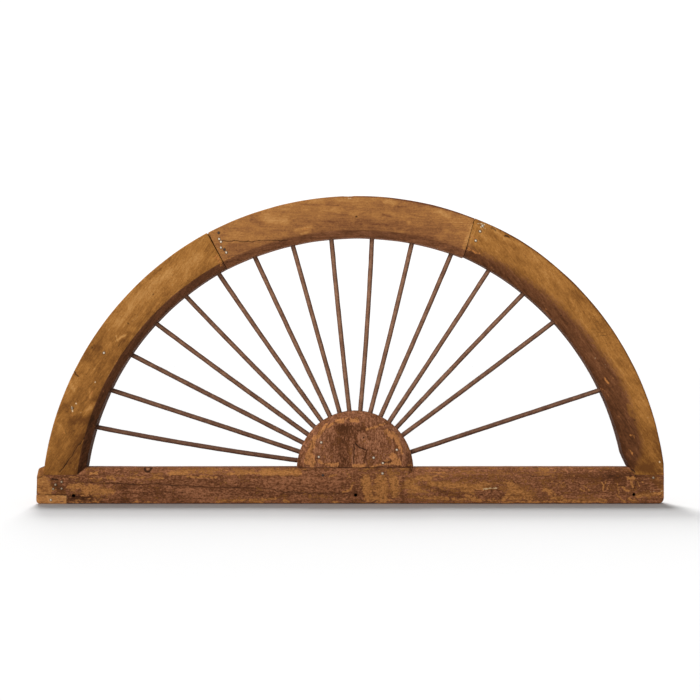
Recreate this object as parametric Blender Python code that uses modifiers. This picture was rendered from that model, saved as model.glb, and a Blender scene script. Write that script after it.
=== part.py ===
"""Fanlight window: a half-round timber frame with iron rods that fan out from a hub.

Metres, +Z up. The front faces -Y. The origin is under the middle of the sill, where
the frame stands. The arch is three sawn felloes on a sill. The rods run from a
half-round hub on the sill to the soffit of the arch. Two of the rod places are empty.
"""
import math

import bmesh
import bpy
from mathutils import Matrix, Vector

# The frame as a whole
LENGTH = 1.221
DEPTH = 0.060
FRONT = -DEPTH / 2
BACK = DEPTH / 2
GAP = 0.0003
EASE = 0.0020

# Sill
SILL_HEIGHT = 0.070
SILL_CHAMFER = 0.014
SILL_END_SLOPE = 0.0015
CORNER_TOP_LEFT = 0.006
CORNER_BOTTOM_LEFT = 0.006
CORNER_BOTTOM_RIGHT = 0.011
CORNER_SEGMENTS = 5
CHAMFER_BAR = 0.030
SILL_TOP = SILL_HEIGHT + GAP

# Fixing holes through the sill, as places along it and heights
FIXING_RADIUS = 0.003
FIXING_SIDES = 12
FIXINGS = ((-0.538, 0.016), (0.011, 0.017), (0.552, 0.018))

# Block let into the lower left corner of the sill
PATCH_LENGTH = 0.059
PATCH_HEIGHT = 0.017
PATCH_DEPTH = 0.022

# The arch was set out from this point. Each felloe was sawn to its own arcs, given
# as the arc's centre along X, its centre along Z, and its radius.
CENTRE = Vector((0.0105, 0, -0.012))
OUTER_ARCS = {
    "arch_left": (0.0190, -0.0174, 0.6207),
    "arch_crown": (0.0131, -0.0226, 0.6218),
    "arch_right": (0.0068, -0.0022, 0.6086),
}
INNER_ARCS = {
    "arch_left": (0.0090, -0.0093, 0.5302),
    "arch_crown": (0.0145, -0.0480, 0.5667),
    "arch_right": (-0.0070, -0.0200, 0.5515),
}
ARCH_CHAMFER = 0.014
FELLOE_STEP = math.radians(2.2)
SMOOTH_ANGLE = math.radians(30)

# Felloe ends, as polar angles in degrees at the soffit and at the outer edge
LEFT_FOOT = (174.6, 174.6)
LEFT_SHOULDER = (118.13, 118.24)
CROWN_LEFT_END = (118.07, 117.98)
CROWN_RIGHT_END = (66.85, 67.80)
RIGHT_SHOULDER = (66.79, 67.74)
RIGHT_FOOT = (5.4, 5.4)

# Tongues that join the felloes in open slots, and the tenons of the two feet. A tongue
# starts this far inside its own felloe and reaches this far into the next, in degrees.
TONGUE_ROOT = 1.2
TONGUE_REACH = 4.5
TONGUE_INSET = 0.012
TONGUE_THICKNESS = 0.020
TENON_WIDTH = 0.048
TENON_DEPTH = 0.046
TENON_TOP = 0.084
TENONS = {"arch_left": -0.562, "arch_right": 0.574}

# The right foot's inner corner is sawn away between these two points, as X and Z
FOOT_RELIEF = ((0.5304, 0.100), (0.5449, 0.070))

# Hub
HUB_CENTRE = Vector((0.0097, 0, 0.066))
HUB_RADIUS = 0.1140
HUB_CHAMFER = 0.0135
HUB_SEGMENTS = 64

# Rods, by place from the left: the polar angle on the soffit in degrees about CENTRE,
# then how far the rod misses ROD_FOCUS, and how far its middle is bowed, both counted
# anticlockwise. The empty places are numbered too.
ROD_RADIUS = 0.0049
RODS = {
    1: (162.5, -0.0003, 0.0033),
    2: (154.1, 0.0, -0.0003),
    3: (145.5, -0.0005, 0.0002),
    4: (137.1, -0.0012, 0.0012),
    5: (128.6, -0.0014, 0.0015),
    6: (120.2, -0.0005, 0.0013),
    7: (111.8, 0.0005, 0.0003),
    8: (103.4, 0.0, -0.0001),
    9: (95.1, 0.0004, 0.0009),
    10: (86.5, -0.0011, -0.0020),
    11: (78.0, -0.0009, -0.0011),
    12: (69.4, -0.0029, -0.0010),
    13: (60.8, -0.0029, -0.0009),
    14: (52.0, -0.0008, 0.0010),
    15: (43.3, -0.0003, -0.0009),
    16: (34.6, 0.0, 0.0),
    17: (25.9, -0.0004, 0.0001),
    18: (17.4, 0.0, 0.0),
}
EMPTY_PLACES = (16, 18)
ROD_FOCUS = Vector((0.011, 0, 0.0637))
ROD_SPANS = 4
SOCKET_RADIUS = 0.0056
ARCH_SOCKET = 0.022
HUB_SOCKET = 0.018
SOCKET_SIDES = 10
SOCKET_PROUD = 0.004

# Nails: a low domed head and a pointed shank, driven square into the front. Each is
# given by its place along X and its height.
NAIL_HEAD_RADIUS = 0.0025
NAIL_HEAD_RISE = 0.0006
NAIL_HEAD_SINK = 0.0004
NAIL_DOME_RADIUS = 0.00165
NAIL_DOME_RISE = 0.00043
NAIL_SHANK_RADIUS = 0.0012
NAIL_POINT = 0.003
NAIL_LENGTH = 0.029
NAIL_SIDES = 8
NAILS = {
    "left_joint": (
        (-0.2557, 0.5269), (-0.2545, 0.5149), (-0.2510, 0.5094),
        (-0.2510, 0.4982), (-0.2444, 0.4945), (-0.2407, 0.4887),
    ),
    "right_joint": ((0.2576, 0.5406), (0.2528, 0.5299), (0.2444, 0.5118)),
    "left_felloe": ((-0.4787, 0.2936), (-0.5406, 0.1861)),
    "left_foot": (
        (-0.5610, 0.0425), (-0.5729, 0.0370), (-0.5773, 0.0288), (-0.5610, 0.0294),
    ),
    "patch": ((-0.5817, 0.0073),),
    "right_foot": ((0.5896, 0.0507),),
    "hub": (
        (-0.0561, 0.1193), (-0.0608, 0.0911), (0.0908, 0.1049),
        (0.0458, 0.0895), (0.0638, 0.0790),
    ),
    "sill": ((0.0631, 0.0590), (-0.0529, 0.0555)),
}
# Which pieces each group of nails is driven through
NAILED = {
    "left_joint": ("arch_crown", "arch_left"),
    "right_joint": ("arch_right", "arch_crown"),
    "left_felloe": ("arch_left",),
    "left_foot": ("sill", "arch_left"),
    "patch": ("sill_patch", "sill"),
    "right_foot": ("sill", "arch_right"),
    "hub": ("hub",),
    "sill": ("sill",),
}

# Colour, roughness and metallic value of each finish
FINISHES = {
    "golden_wood": ((0.30, 0.135, 0.035), 0.60, 0.0),
    "painted_wood": ((0.20, 0.060, 0.025), 0.70, 0.0),
    "patch_wood": ((0.42, 0.210, 0.050), 0.55, 0.0),
    "rusty_iron": ((0.11, 0.045, 0.025), 0.65, 0.7),
    "nail_steel": ((0.55, 0.50, 0.42), 0.40, 0.9),
}


def clear_scene():
    for item in list(bpy.data.objects):
        bpy.data.objects.remove(item, do_unlink=True)


def new_collection(name):
    collection = bpy.data.collections.new(name)
    bpy.context.scene.collection.children.link(collection)
    return collection


clear_scene()
PARTS = new_collection("fanlight_window")
CUTTERS = new_collection("cutters")


def new_material(node, finish):
    """Each node has its own material, in one of the finishes."""
    colour, roughness, metallic = FINISHES[finish]
    material = bpy.data.materials.new(node)
    material.use_nodes = True
    shader = material.node_tree.nodes["Principled BSDF"]
    shader.inputs["Base Color"].default_value = (*colour, 1)
    shader.inputs["Roughness"].default_value = roughness
    shader.inputs["Metallic"].default_value = metallic
    return material


def add_part(node, shape, finish, smooth=False):
    """Turn a bmesh into a named part with its own material."""
    mesh = bpy.data.meshes.new(node)
    shape.to_mesh(mesh)
    shape.free()
    mesh.materials.append(new_material(node, finish))
    if smooth:
        mesh.shade_smooth()
        mesh.set_sharp_from_angle(angle=SMOOTH_ANGLE)
    part = bpy.data.objects.new(node, mesh)
    PARTS.objects.link(part)
    return part


def add_cutter(name, shape):
    """Turn a bmesh into a hidden guide that a Boolean reads."""
    mesh = bpy.data.meshes.new(name)
    shape.to_mesh(mesh)
    shape.free()
    cutter = bpy.data.objects.new(name, mesh)
    cutter.hide_render = True
    cutter.display_type = "WIRE"
    CUTTERS.objects.link(cutter)
    return cutter


def boolean(part, cutter, operation="DIFFERENCE"):
    modifier = part.modifiers.new(cutter.name, "BOOLEAN")
    modifier.operation = operation
    modifier.solver = "EXACT"
    modifier.object = cutter


def add_box(shape, low, high):
    """Add a box between two corners, and return its vertices."""
    low, high = Vector(low), Vector(high)
    size = Matrix.Diagonal((*(high - low), 1))
    made = bmesh.ops.create_cube(
        shape, size=1, matrix=Matrix.Translation((low + high) / 2) @ size
    )
    return made["verts"]


def add_cylinder(shape, start, end, radius, sides):
    """Add a cylinder between two points."""
    along = end - start
    turn = along.to_track_quat("Z", "Y").to_matrix().to_4x4()
    bmesh.ops.create_cone(
        shape, cap_ends=True, segments=sides, radius1=radius, radius2=radius,
        depth=along.length, matrix=Matrix.Translation((start + end) / 2) @ turn,
    )


def polar(angle, radius):
    """The point at a polar angle and radius about the arch's setting-out centre."""
    return CENTRE + Vector((math.cos(angle), 0, math.sin(angle))) * radius


def arc_radius(arc, angle):
    """How far from CENTRE a felloe's arc lies at a polar angle."""
    away = Vector((arc[0] - CENTRE.x, arc[1] - CENTRE.z))
    along = away.dot(Vector((math.cos(angle), math.sin(angle))))
    return along + math.sqrt(arc[2] ** 2 - away.length_squared + along ** 2)


def bevel_end_edge(shape, x, z, radius):
    """Round the corner edge that runs along Y at one place in the side view."""
    near = [
        edge for edge in shape.edges
        if all(
            abs(vert.co.x - x) < EASE / 2 and abs(vert.co.z - z) < EASE / 2
            for vert in edge.verts
        )
    ]
    bmesh.ops.bevel(
        shape, geom=near, offset=radius, segments=CORNER_SEGMENTS, profile=0.5,
        affect="EDGES",
    )


def make_sill():
    """The bottom rail: a long block, with three of its end corners worn round."""
    shape = bmesh.new()
    left, right = -LENGTH / 2, LENGTH / 2
    for vert in add_box(shape, (left, FRONT, 0), (right, BACK, SILL_HEIGHT)):
        if vert.co.x < 0 and vert.co.z > 0:
            vert.co.x += SILL_END_SLOPE
    bevel_end_edge(shape, left + SILL_END_SLOPE, SILL_HEIGHT, CORNER_TOP_LEFT)
    bevel_end_edge(shape, left, 0, CORNER_BOTTOM_LEFT)
    bevel_end_edge(shape, right, 0, CORNER_BOTTOM_RIGHT)
    return add_part("sill", shape, "painted_wood", smooth=True)


def chamfer_cutter():
    """Two bars laid on the chamfer's slope, mitred where they stop at the hub."""
    shape = bmesh.new()
    face_radius = HUB_RADIUS - HUB_CHAMFER
    middle = Vector((0, FRONT + SILL_CHAMFER / 2, SILL_HEIGHT - SILL_CHAMFER / 2))
    outward = Vector((0, -1, 1)).normalized()
    for side in (-1, 1):
        stop = HUB_CENTRE.x + side * face_radius
        end = side * (LENGTH / 2 + CHAMFER_BAR)
        bar = Matrix.Translation(middle + outward * CHAMFER_BAR / 2)
        bar = bar @ Matrix.Rotation(math.radians(-45), 4, "X")
        made = bmesh.ops.create_cube(shape, size=CHAMFER_BAR, matrix=bar)
        for vert in made["verts"]:
            mitred = stop + side * (vert.co.y - FRONT)
            vert.co.x = end if vert.co.x * side > 0 else mitred
    bmesh.ops.recalc_face_normals(shape, faces=shape.faces)
    return add_cutter("sill_chamfer", shape)


def mortise_cutter():
    """The two mortises that take the arch's tenons."""
    shape = bmesh.new()
    for middle in TENONS.values():
        half = TENON_WIDTH / 2 + GAP
        side = TONGUE_THICKNESS / 2 + GAP
        bottom = SILL_HEIGHT - TENON_DEPTH - GAP
        add_box(shape, (middle - half, -side, bottom), (middle + half, side, TENON_TOP))
    return add_cutter("mortises", shape)


def fixing_cutter():
    """Three holes bored through the sill from front to back."""
    shape = bmesh.new()
    for x, z in FIXINGS:
        start, end = Vector((x, -DEPTH, z)), Vector((x, DEPTH, z))
        add_cylinder(shape, start, end, FIXING_RADIUS, FIXING_SIDES)
    return add_cutter("fixing_holes", shape)


def make_patch():
    """The block let into the sill's corner, cut to fit the rebate with a fine gap."""
    shape = bmesh.new()
    left = -LENGTH / 2
    add_box(
        shape, (left, FRONT, 0), (left + PATCH_LENGTH, FRONT + PATCH_DEPTH, PATCH_HEIGHT)
    )
    bevel_end_edge(shape, left, 0, CORNER_BOTTOM_LEFT)
    return add_part("sill_patch", shape, "patch_wood", smooth=True)


def rebate_cutter():
    """The rebate in the sill that the patch sits in."""
    shape = bmesh.new()
    low = (-LENGTH / 2 - EASE, FRONT - EASE, -EASE)
    high = (
        -LENGTH / 2 + PATCH_LENGTH + GAP,
        FRONT + PATCH_DEPTH + GAP,
        PATCH_HEIGHT + GAP,
    )
    add_box(shape, low, high)
    return add_cutter("patch_rebate", shape)


def felloe_section():
    """A felloe's section as edge, distance in from that edge, and place along Y."""
    return (
        ("inner", 0, BACK - EASE),
        ("inner", EASE, BACK),
        ("outer", EASE, BACK),
        ("outer", 0, BACK - EASE),
        ("outer", 0, FRONT + EASE),
        ("outer", EASE, FRONT),
        ("inner", ARCH_CHAMFER, FRONT),
        ("inner", 0, FRONT + ARCH_CHAMFER),
    )


def sweep_section(node, section, first, last):
    """Sweep a section round the arch, then fit its edges to a felloe's arcs.

    The sweep has its inner edge at a radius of 1 and its outer edge at 2. Each vertex
    is then moved to its place on the straight line from the soffit to the outer edge.
    That line isn't quite radial, because the felloes' ends aren't.
    """
    shape = bmesh.new()
    ring = []
    for edge, inset, y in section:
        radius = 1 + inset if edge == "inner" else 2 - inset
        ring.append(shape.verts.new((radius, y, 0)))
    face = shape.faces.new(ring)
    sweep = math.radians(first[0] - last[0])
    steps = math.ceil(sweep / FELLOE_STEP)
    bmesh.ops.spin(
        shape, geom=[face] + face.edges[:] + ring, cent=(0, 0, 0), axis=(0, 1, 0),
        angle=sweep, steps=steps, use_duplicate=False,
    )
    for vert in shape.verts:
        swept = math.atan2(-vert.co.z, vert.co.x) / sweep
        ends = []
        for arcs, start, end in zip((INNER_ARCS, OUTER_ARCS), first, last):
            angle = math.radians(start + (end - start) * swept)
            ends.append(polar(angle, arc_radius(arcs[node], angle)))
        soffit, edge = ends
        across = (edge - soffit).normalized()
        reach = math.hypot(vert.co.x, vert.co.z)
        place = edge + across * (reach - 2) if reach > 1.5 else soffit + across * (reach - 1)
        vert.co = (place.x, vert.co.y, place.z)
    bmesh.ops.recalc_face_normals(shape, faces=shape.faces)
    if shape.calc_volume(signed=True) < 0:
        bmesh.ops.reverse_faces(shape, faces=shape.faces)
    return shape


def make_felloe(node, first, last):
    """A felloe before its joints are cut."""
    shape = sweep_section(node, felloe_section(), first, last)
    return add_part(node, shape, "golden_wood", smooth=True)


def scribe_cutter():
    """The sill's section, a fine gap larger, which the arch feet are scribed over."""
    shape = bmesh.new()
    reach = DEPTH / 3
    end = LENGTH / 2 + reach
    rise = SILL_TOP + GAP / 2
    slope_back = FRONT + SILL_CHAMFER - GAP / 2
    low = FRONT - reach
    outline = (
        (low, -reach), (BACK + reach, -reach), (BACK + reach, rise),
        (slope_back, rise), (low, rise - (slope_back - low)),
    )
    face = shape.faces.new([shape.verts.new((-end, y, z)) for y, z in outline])
    made = bmesh.ops.extrude_face_region(shape, geom=[face])
    verts = [item for item in made["geom"] if isinstance(item, bmesh.types.BMVert)]
    bmesh.ops.translate(shape, verts=verts, vec=(end * 2, 0, 0))
    bmesh.ops.recalc_face_normals(shape, faces=shape.faces)
    return add_cutter("sill_scribe", shape)


def relief_cutter():
    """A slanting saw cut that takes off the inner corner of the right foot."""
    shape = bmesh.new()
    top, bottom = (Vector((x, 0, z)) for x, z in FOOT_RELIEF)
    along = bottom - top
    size = along.length * 2
    turn = Matrix.Rotation(math.atan2(-along.z, along.x), 4, "Y")
    place = Matrix.Translation(top) @ turn
    verts = add_box(shape, (-size, -DEPTH, -size), (size, DEPTH, 0))
    bmesh.ops.transform(shape, matrix=place, verts=verts)
    return add_cutter("foot_relief", shape)


def trim_cutter():
    """The right foot is trimmed flush with the end of the sill."""
    shape = bmesh.new()
    flush = LENGTH / 2 - GAP
    add_box(shape, (flush, -DEPTH, -DEPTH), (flush + DEPTH, DEPTH, DEPTH * 3))
    return add_cutter("flush_end", shape)


def tongue(node, shoulder, clearance=0):
    """The tongue at a felloe's clockwise end, or with a clearance the slot for it.

    A tongue reaches out to the felloe's outer edge, so its slot is open there.
    """
    side = TONGUE_THICKNESS / 2 + clearance
    inner = TONGUE_INSET - clearance
    outer = -EASE if clearance else 0
    section = (
        ("inner", inner, side), ("outer", outer, side),
        ("outer", outer, -side), ("inner", inner, -side),
    )
    end = shoulder[0] - TONGUE_REACH - math.degrees(clearance / INNER_ARCS[node][2])
    first = (shoulder[0] + TONGUE_ROOT,) * 2
    shape = sweep_section(node, section, first, (end, end))
    return add_cutter(node + ("_slot" if clearance else "_tongue"), shape)


def tenon(node):
    """The tenon under an arch foot."""
    shape = bmesh.new()
    middle, half = TENONS[node], TENON_WIDTH / 2
    side = TONGUE_THICKNESS / 2
    bottom = SILL_HEIGHT - TENON_DEPTH
    add_box(shape, (middle - half, -side, bottom), (middle + half, side, TENON_TOP))
    return add_cutter(node + "_tenon", shape)


def make_hub():
    """A turned disc with a chamfered front edge, sawn off flat just under its middle."""
    shape = bmesh.new()
    turn = Matrix.Rotation(math.radians(90), 4, "X")
    bmesh.ops.create_cone(
        shape, cap_ends=True, segments=HUB_SEGMENTS, radius1=HUB_RADIUS,
        radius2=HUB_RADIUS, depth=DEPTH, matrix=Matrix.Translation(HUB_CENTRE) @ turn,
    )
    for y, width in ((FRONT, HUB_CHAMFER), (BACK, EASE)):
        rim = [
            edge for edge in shape.edges
            if all(abs(vert.co.y - y) < GAP for vert in edge.verts)
        ]
        bmesh.ops.bevel(
            shape, geom=rim, offset=width, offset_type="OFFSET", segments=1,
            profile=0.5, affect="EDGES",
        )
    cut = bmesh.ops.bisect_plane(
        shape, geom=shape.verts[:] + shape.edges[:] + shape.faces[:],
        plane_co=(0, 0, SILL_TOP), plane_no=(0, 0, -1), clear_outer=True,
    )
    rim = [item for item in cut["geom_cut"] if isinstance(item, bmesh.types.BMEdge)]
    bmesh.ops.contextual_create(shape, geom=rim)
    bmesh.ops.recalc_face_normals(shape, faces=shape.faces)
    return add_part("hub", shape, "painted_wood", smooth=True)


def anticlockwise(down):
    """Square to a rod that runs from the arch down to the hub, towards the left foot."""
    return Vector((down.z, 0, -down.x))


def rod_line(place):
    """A rod's run: its soffit end, its hub end, and the direction from arch to hub."""
    angle = math.radians(RODS[place][0])
    if angle > math.radians(LEFT_SHOULDER[0]):
        arc = INNER_ARCS["arch_left"]
    elif angle > math.radians(CROWN_RIGHT_END[0]):
        arc = INNER_ARCS["arch_crown"]
    else:
        arc = INNER_ARCS["arch_right"]
    top = polar(angle, arc_radius(arc, angle))
    aim = (ROD_FOCUS - top).normalized()
    down = (ROD_FOCUS + anticlockwise(aim) * RODS[place][1] - top).normalized()
    reach = (HUB_CENTRE - top).dot(down)
    across = (HUB_CENTRE - top - down * reach).length
    foot = top + down * (reach - math.sqrt(HUB_RADIUS ** 2 - across ** 2))
    return top, foot, down


def make_rod(place):
    """A round bar, straight in its sockets and slightly bowed between them."""
    top, foot, down = rod_line(place)
    side, bow = anticlockwise(down), RODS[place][2]
    points = [top - down * (ARCH_SOCKET - GAP)]
    for step in range(ROD_SPANS + 1):
        along = step / ROD_SPANS
        bend = side * bow * 4 * along * (1 - along)
        points.append(top.lerp(foot, along) + bend)
    points.append(foot + down * (HUB_SOCKET - GAP))
    node = f"rod_{place:02d}"
    curve = bpy.data.curves.new(node, "CURVE")
    curve.dimensions = "3D"
    curve.bevel_depth = ROD_RADIUS
    curve.bevel_resolution = 2
    curve.use_fill_caps = True
    curve.materials.append(new_material(node, "rusty_iron"))
    line = curve.splines.new("POLY")
    line.points.add(len(points) - 1)
    for point, place_at in zip(line.points, points):
        point.co = (*place_at, 1)
    line.use_smooth = True
    PARTS.objects.link(bpy.data.objects.new(node, curve))


def socket_cutter(node, places, in_hub=False):
    """The blind holes that one piece has for its rods, the empty ones included."""
    shape = bmesh.new()
    for place in places:
        top, foot, down = rod_line(place)
        if in_hub:
            start, end = foot - down * SOCKET_PROUD, foot + down * HUB_SOCKET
        else:
            start, end = top + down * SOCKET_PROUD, top - down * ARCH_SOCKET
        add_cylinder(shape, start, end, SOCKET_RADIUS, SOCKET_SIDES)
    return add_cutter(node + "_sockets", shape)


def nail_profile(clearance):
    """Half of a nail's outline, from its crown down: radius, and height over the face.

    With a clearance it is the outline of the nail's hole, which is open at the face.
    """
    head = NAIL_HEAD_RADIUS + clearance
    shank = NAIL_SHANK_RADIUS + clearance
    sink = NAIL_HEAD_SINK + clearance
    tip = NAIL_LENGTH + clearance
    if clearance:
        above = ((0, EASE), (head, EASE))
        point = ((shank, -tip), (0, -tip))
    else:
        above = ((0, NAIL_HEAD_RISE), (NAIL_DOME_RADIUS, NAIL_DOME_RISE), (head, 0))
        point = ((shank, NAIL_POINT - tip), (0, -tip))
    return (*above, (head, -sink), (shank, -sink), *point)


def nail_points(shape, profile):
    """Draw a nail's half outline as a chain of edges, on the side of +X."""
    verts = [shape.verts.new((radius, 0, height)) for radius, height in profile]
    return verts, [shape.edges.new(pair) for pair in zip(verts, verts[1:])]


def make_nails(group):
    """The nails of one group. Their axes point out of the front face."""
    turn = Matrix.Rotation(math.radians(90), 4, "X")
    for number, (x, z) in enumerate(NAILS[group], start=1):
        node = f"nail_{group}_{number}"
        shape = bmesh.new()
        nail_points(shape, nail_profile(0))
        nail = add_part(node, shape, "nail_steel")
        nail.matrix_world = Matrix.Translation((x, FRONT, z)) @ turn
        screw = nail.modifiers.new("turned", "SCREW")
        screw.steps = screw.render_steps = NAIL_SIDES
        screw.use_merge_vertices = True
        screw.merge_threshold = 0.0001
        screw.use_smooth_shade = True


def nail_cutter(node):
    """The holes that the nails leave in one piece."""
    shape = bmesh.new()
    turn = Matrix.Rotation(math.radians(90), 4, "X")
    for group, pieces in NAILED.items():
        if node not in pieces:
            continue
        for x, z in NAILS[group]:
            verts, edges = nail_points(shape, nail_profile(GAP))
            made = bmesh.ops.spin(
                shape, geom=verts + edges, cent=(0, 0, 0), axis=(0, 0, 1),
                angle=math.tau, steps=NAIL_SIDES, use_merge=True,
            )
            hole = {vert for vert in shape.verts if not vert.tag}
            bmesh.ops.transform(
                shape, verts=list(hole), matrix=Matrix.Translation((x, FRONT, z)) @ turn
            )
            for vert in hole:
                vert.tag = True
    bmesh.ops.remove_doubles(shape, verts=shape.verts, dist=GAP / 6)
    bmesh.ops.recalc_face_normals(shape, faces=shape.faces)
    return add_cutter(node + "_nail_holes", shape)


def places_between(first, last):
    """The rod places whose angles lie on one felloe."""
    return [
        place for place, (angle, *_) in RODS.items() if last[0] < angle < first[0]
    ]


def build():
    sill = make_sill()
    patch = make_patch()
    left = make_felloe("arch_left", LEFT_FOOT, LEFT_SHOULDER)
    crown = make_felloe("arch_crown", CROWN_LEFT_END, CROWN_RIGHT_END)
    right = make_felloe("arch_right", RIGHT_SHOULDER, RIGHT_FOOT)
    hub = make_hub()

    # Sill: chamfer, mortises, fixing holes and the rebate for the patch
    for cutter in (chamfer_cutter(), mortise_cutter(), fixing_cutter(), rebate_cutter()):
        boolean(sill, cutter)

    # Feet: scribed over the sill, with a tenon below
    scribe = scribe_cutter()
    for cutter in (trim_cutter(), relief_cutter()):
        boolean(right, cutter)
    for foot in (left, right):
        boolean(foot, scribe)
        boolean(foot, tenon(foot.name), "UNION")

    # Felloe joints: each tongue points clockwise, into the next felloe
    for holder, taker, shoulder in (
        (left, crown, LEFT_SHOULDER), (crown, right, CROWN_RIGHT_END),
    ):
        boolean(holder, tongue(holder.name, shoulder), "UNION")
        boolean(taker, tongue(holder.name, shoulder, GAP))

    # Sockets for the rods, and the rods themselves
    boolean(left, socket_cutter("arch_left", places_between(LEFT_FOOT, LEFT_SHOULDER)))
    boolean(crown, socket_cutter("arch_crown", places_between(CROWN_LEFT_END, CROWN_RIGHT_END)))
    boolean(right, socket_cutter("arch_right", places_between(RIGHT_SHOULDER, RIGHT_FOOT)))
    boolean(hub, socket_cutter("hub", RODS, in_hub=True))
    for place in RODS:
        if place not in EMPTY_PLACES:
            make_rod(place)

    # Nails, and the holes they leave
    for group in NAILS:
        make_nails(group)
    for piece in (sill, patch, left, crown, right, hub):
        boolean(piece, nail_cutter(piece.name))


build()
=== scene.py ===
# Fanlight window: an old half-round timber frame, with iron rods that fan out from a hub.
# Metres, +Z up, and the front faces -Y. The sizes of each piece are those of its solid.
import itertools
import math

import bmesh
import bpy
import numpy as np
from mathutils import Matrix, Vector


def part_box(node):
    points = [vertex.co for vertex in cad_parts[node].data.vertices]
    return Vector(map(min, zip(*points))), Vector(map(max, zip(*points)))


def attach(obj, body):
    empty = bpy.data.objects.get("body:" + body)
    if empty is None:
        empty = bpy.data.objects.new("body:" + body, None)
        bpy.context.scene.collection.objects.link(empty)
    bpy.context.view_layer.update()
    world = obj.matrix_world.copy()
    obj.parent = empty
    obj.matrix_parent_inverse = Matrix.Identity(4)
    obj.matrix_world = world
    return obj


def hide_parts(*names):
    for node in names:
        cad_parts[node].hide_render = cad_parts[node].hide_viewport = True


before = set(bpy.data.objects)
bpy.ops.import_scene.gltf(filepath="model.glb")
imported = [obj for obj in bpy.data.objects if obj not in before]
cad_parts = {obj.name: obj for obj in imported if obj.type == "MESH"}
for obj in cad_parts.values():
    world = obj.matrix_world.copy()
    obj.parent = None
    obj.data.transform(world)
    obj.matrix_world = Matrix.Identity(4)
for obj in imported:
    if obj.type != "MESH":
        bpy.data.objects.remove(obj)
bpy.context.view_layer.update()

window = bpy.data.collections.new("window")
bpy.context.scene.collection.children.link(window)


# SILL
# The bottom rail: one long block of softwood, sawn and planed, with a chamfer on its front
# top edge that stops at the hub. Its red-brown paint has worn off in streaks along the
# grain, and three holes are bored through it for fixings.
SILL_LOW, SILL_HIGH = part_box("sill")
FRONT, BACK, SILL_HEIGHT = SILL_LOW.y, SILL_HIGH.y, SILL_HIGH.z
# The air between pieces that touch, and the width of a worn arris
GAP = 0.0003
EASE = 0.0020
FRONT_EASE = 0.0012
SILL_CHAMFER = 0.014
CHAMFER_STOP, STOP_SLOPE = 0.1005, 0.002
END_SLOPE, END_REACH = 0.0015, 0.02
# The radius of the lower and of the upper front corner at each end
LEFT_CORNERS, RIGHT_CORNERS = (0.006, 0.006), (0.011, 0.002)
FIXING_RADIUS, FIXING_CLOG = 0.003, (0.010, 0.016)
FIXINGS = ((-0.538, 0.016), (0.011, 0.017), (0.552, 0.018))
PATCH_LENGTH, PATCH_HEIGHT, PATCH_DEPTH = 0.059, 0.017, 0.022
HUB_CENTRE = Vector((0.0097, 0, 0.066))
STAIN_REACH, STAIN_FADE, STAIN_DEPTH = 0.00459, 0.0027, 0.62
WANDER_CELL, WANDER = 0.007, 0.0035
# Where the middle of each nail is
NAILS = {node: sum(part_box(node), Vector()) / 2 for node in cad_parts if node.startswith("nail_")}


class Wire:
    """One socket in a finish. A sum on it adds the Math nodes that work it out."""

    def __init__(self, finish, socket):
        self.finish, self.socket = finish, socket

    def sum(self, operation, first, second=0.0, clamp=False):
        settings = {"operation": operation, "use_clamp": clamp}
        return self.finish.node("ShaderNodeMath", settings, {0: first, 1: second})

    def __add__(self, other):
        return self.sum("ADD", self, other)

    def __sub__(self, other):
        return self.sum("SUBTRACT", self, other)

    def __rsub__(self, other):
        return self.sum("SUBTRACT", other, self)

    def __mul__(self, other):
        return self.sum("MULTIPLY", self, other)

    __radd__, __rmul__ = __add__, __mul__

    def limited(self):
        return self.sum("ADD", self, 0.0, clamp=True)


class Finish:
    """The material of one piece, and the nodes that make its pattern."""

    def __init__(self, name):
        self.material = bpy.data.materials.new(name)
        self.material.use_nodes = True
        self.nodes = self.material.node_tree.nodes
        self.links = self.material.node_tree.links
        self.shader = self.nodes["Principled BSDF"]

    def node(self, kind, settings, sockets, output=0):
        """Add a node: its settings first, then the values or links of its sockets."""
        node = self.nodes.new(kind)
        for name, value in settings.items():
            if name == "stops":
                while len(node.color_ramp.elements) < len(value):
                    node.color_ramp.elements.new(1)
                for stop, (place, colour) in zip(node.color_ramp.elements, value):
                    stop.position, stop.color = place, (*colour, 1)
            else:
                setattr(node, name, value)
        self.feed(node, sockets)
        return Wire(self, node.outputs[output])

    def feed(self, node, sockets):
        for name, value in sockets.items():
            if isinstance(value, Wire):
                self.links.new(value.socket, node.inputs[name])
            else:
                node.inputs[name].default_value = value

    def noise(self, places, stretch, seed, detail=3.0, rough=0.5):
        """Cloudy noise, about 0.5 on average, in cells of 1 / stretch metres."""
        shift = (seed * 3.7, seed * 1.3, seed * 2.9)
        cells = self.node(
            "ShaderNodeVectorMath", {"operation": "MULTIPLY_ADD"},
            {0: places, 1: stretch, 2: shift},
        )
        sockets = {"Vector": cells, "Scale": 1.0, "Detail": detail, "Roughness": rough}
        return self.node("ShaderNodeTexNoise", {}, sockets, "Fac")

    def ramp(self, stops, value):
        return self.node("ShaderNodeValToRGB", {"stops": stops}, {"Fac": value})

    def bump(self, strength, depth, height):
        sockets = {"Strength": strength, "Distance": depth, "Height": height}
        return self.node("ShaderNodeBump", {}, sockets)

    def mix(self, share, first, second):
        """The first colour, with a share of the second laid over it."""
        first, second = (
            (*colour, 1) if isinstance(colour, tuple) else colour for colour in (first, second)
        )
        return self.node(
            "ShaderNodeMix", {"data_type": "RGBA"}, {0: share, 6: first, 7: second}, 2
        )

    def painted(self, name):
        """A value that the piece's own mesh carries at each of its points."""
        return self.node("ShaderNodeAttribute", {"attribute_name": name}, {}, "Fac")


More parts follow.
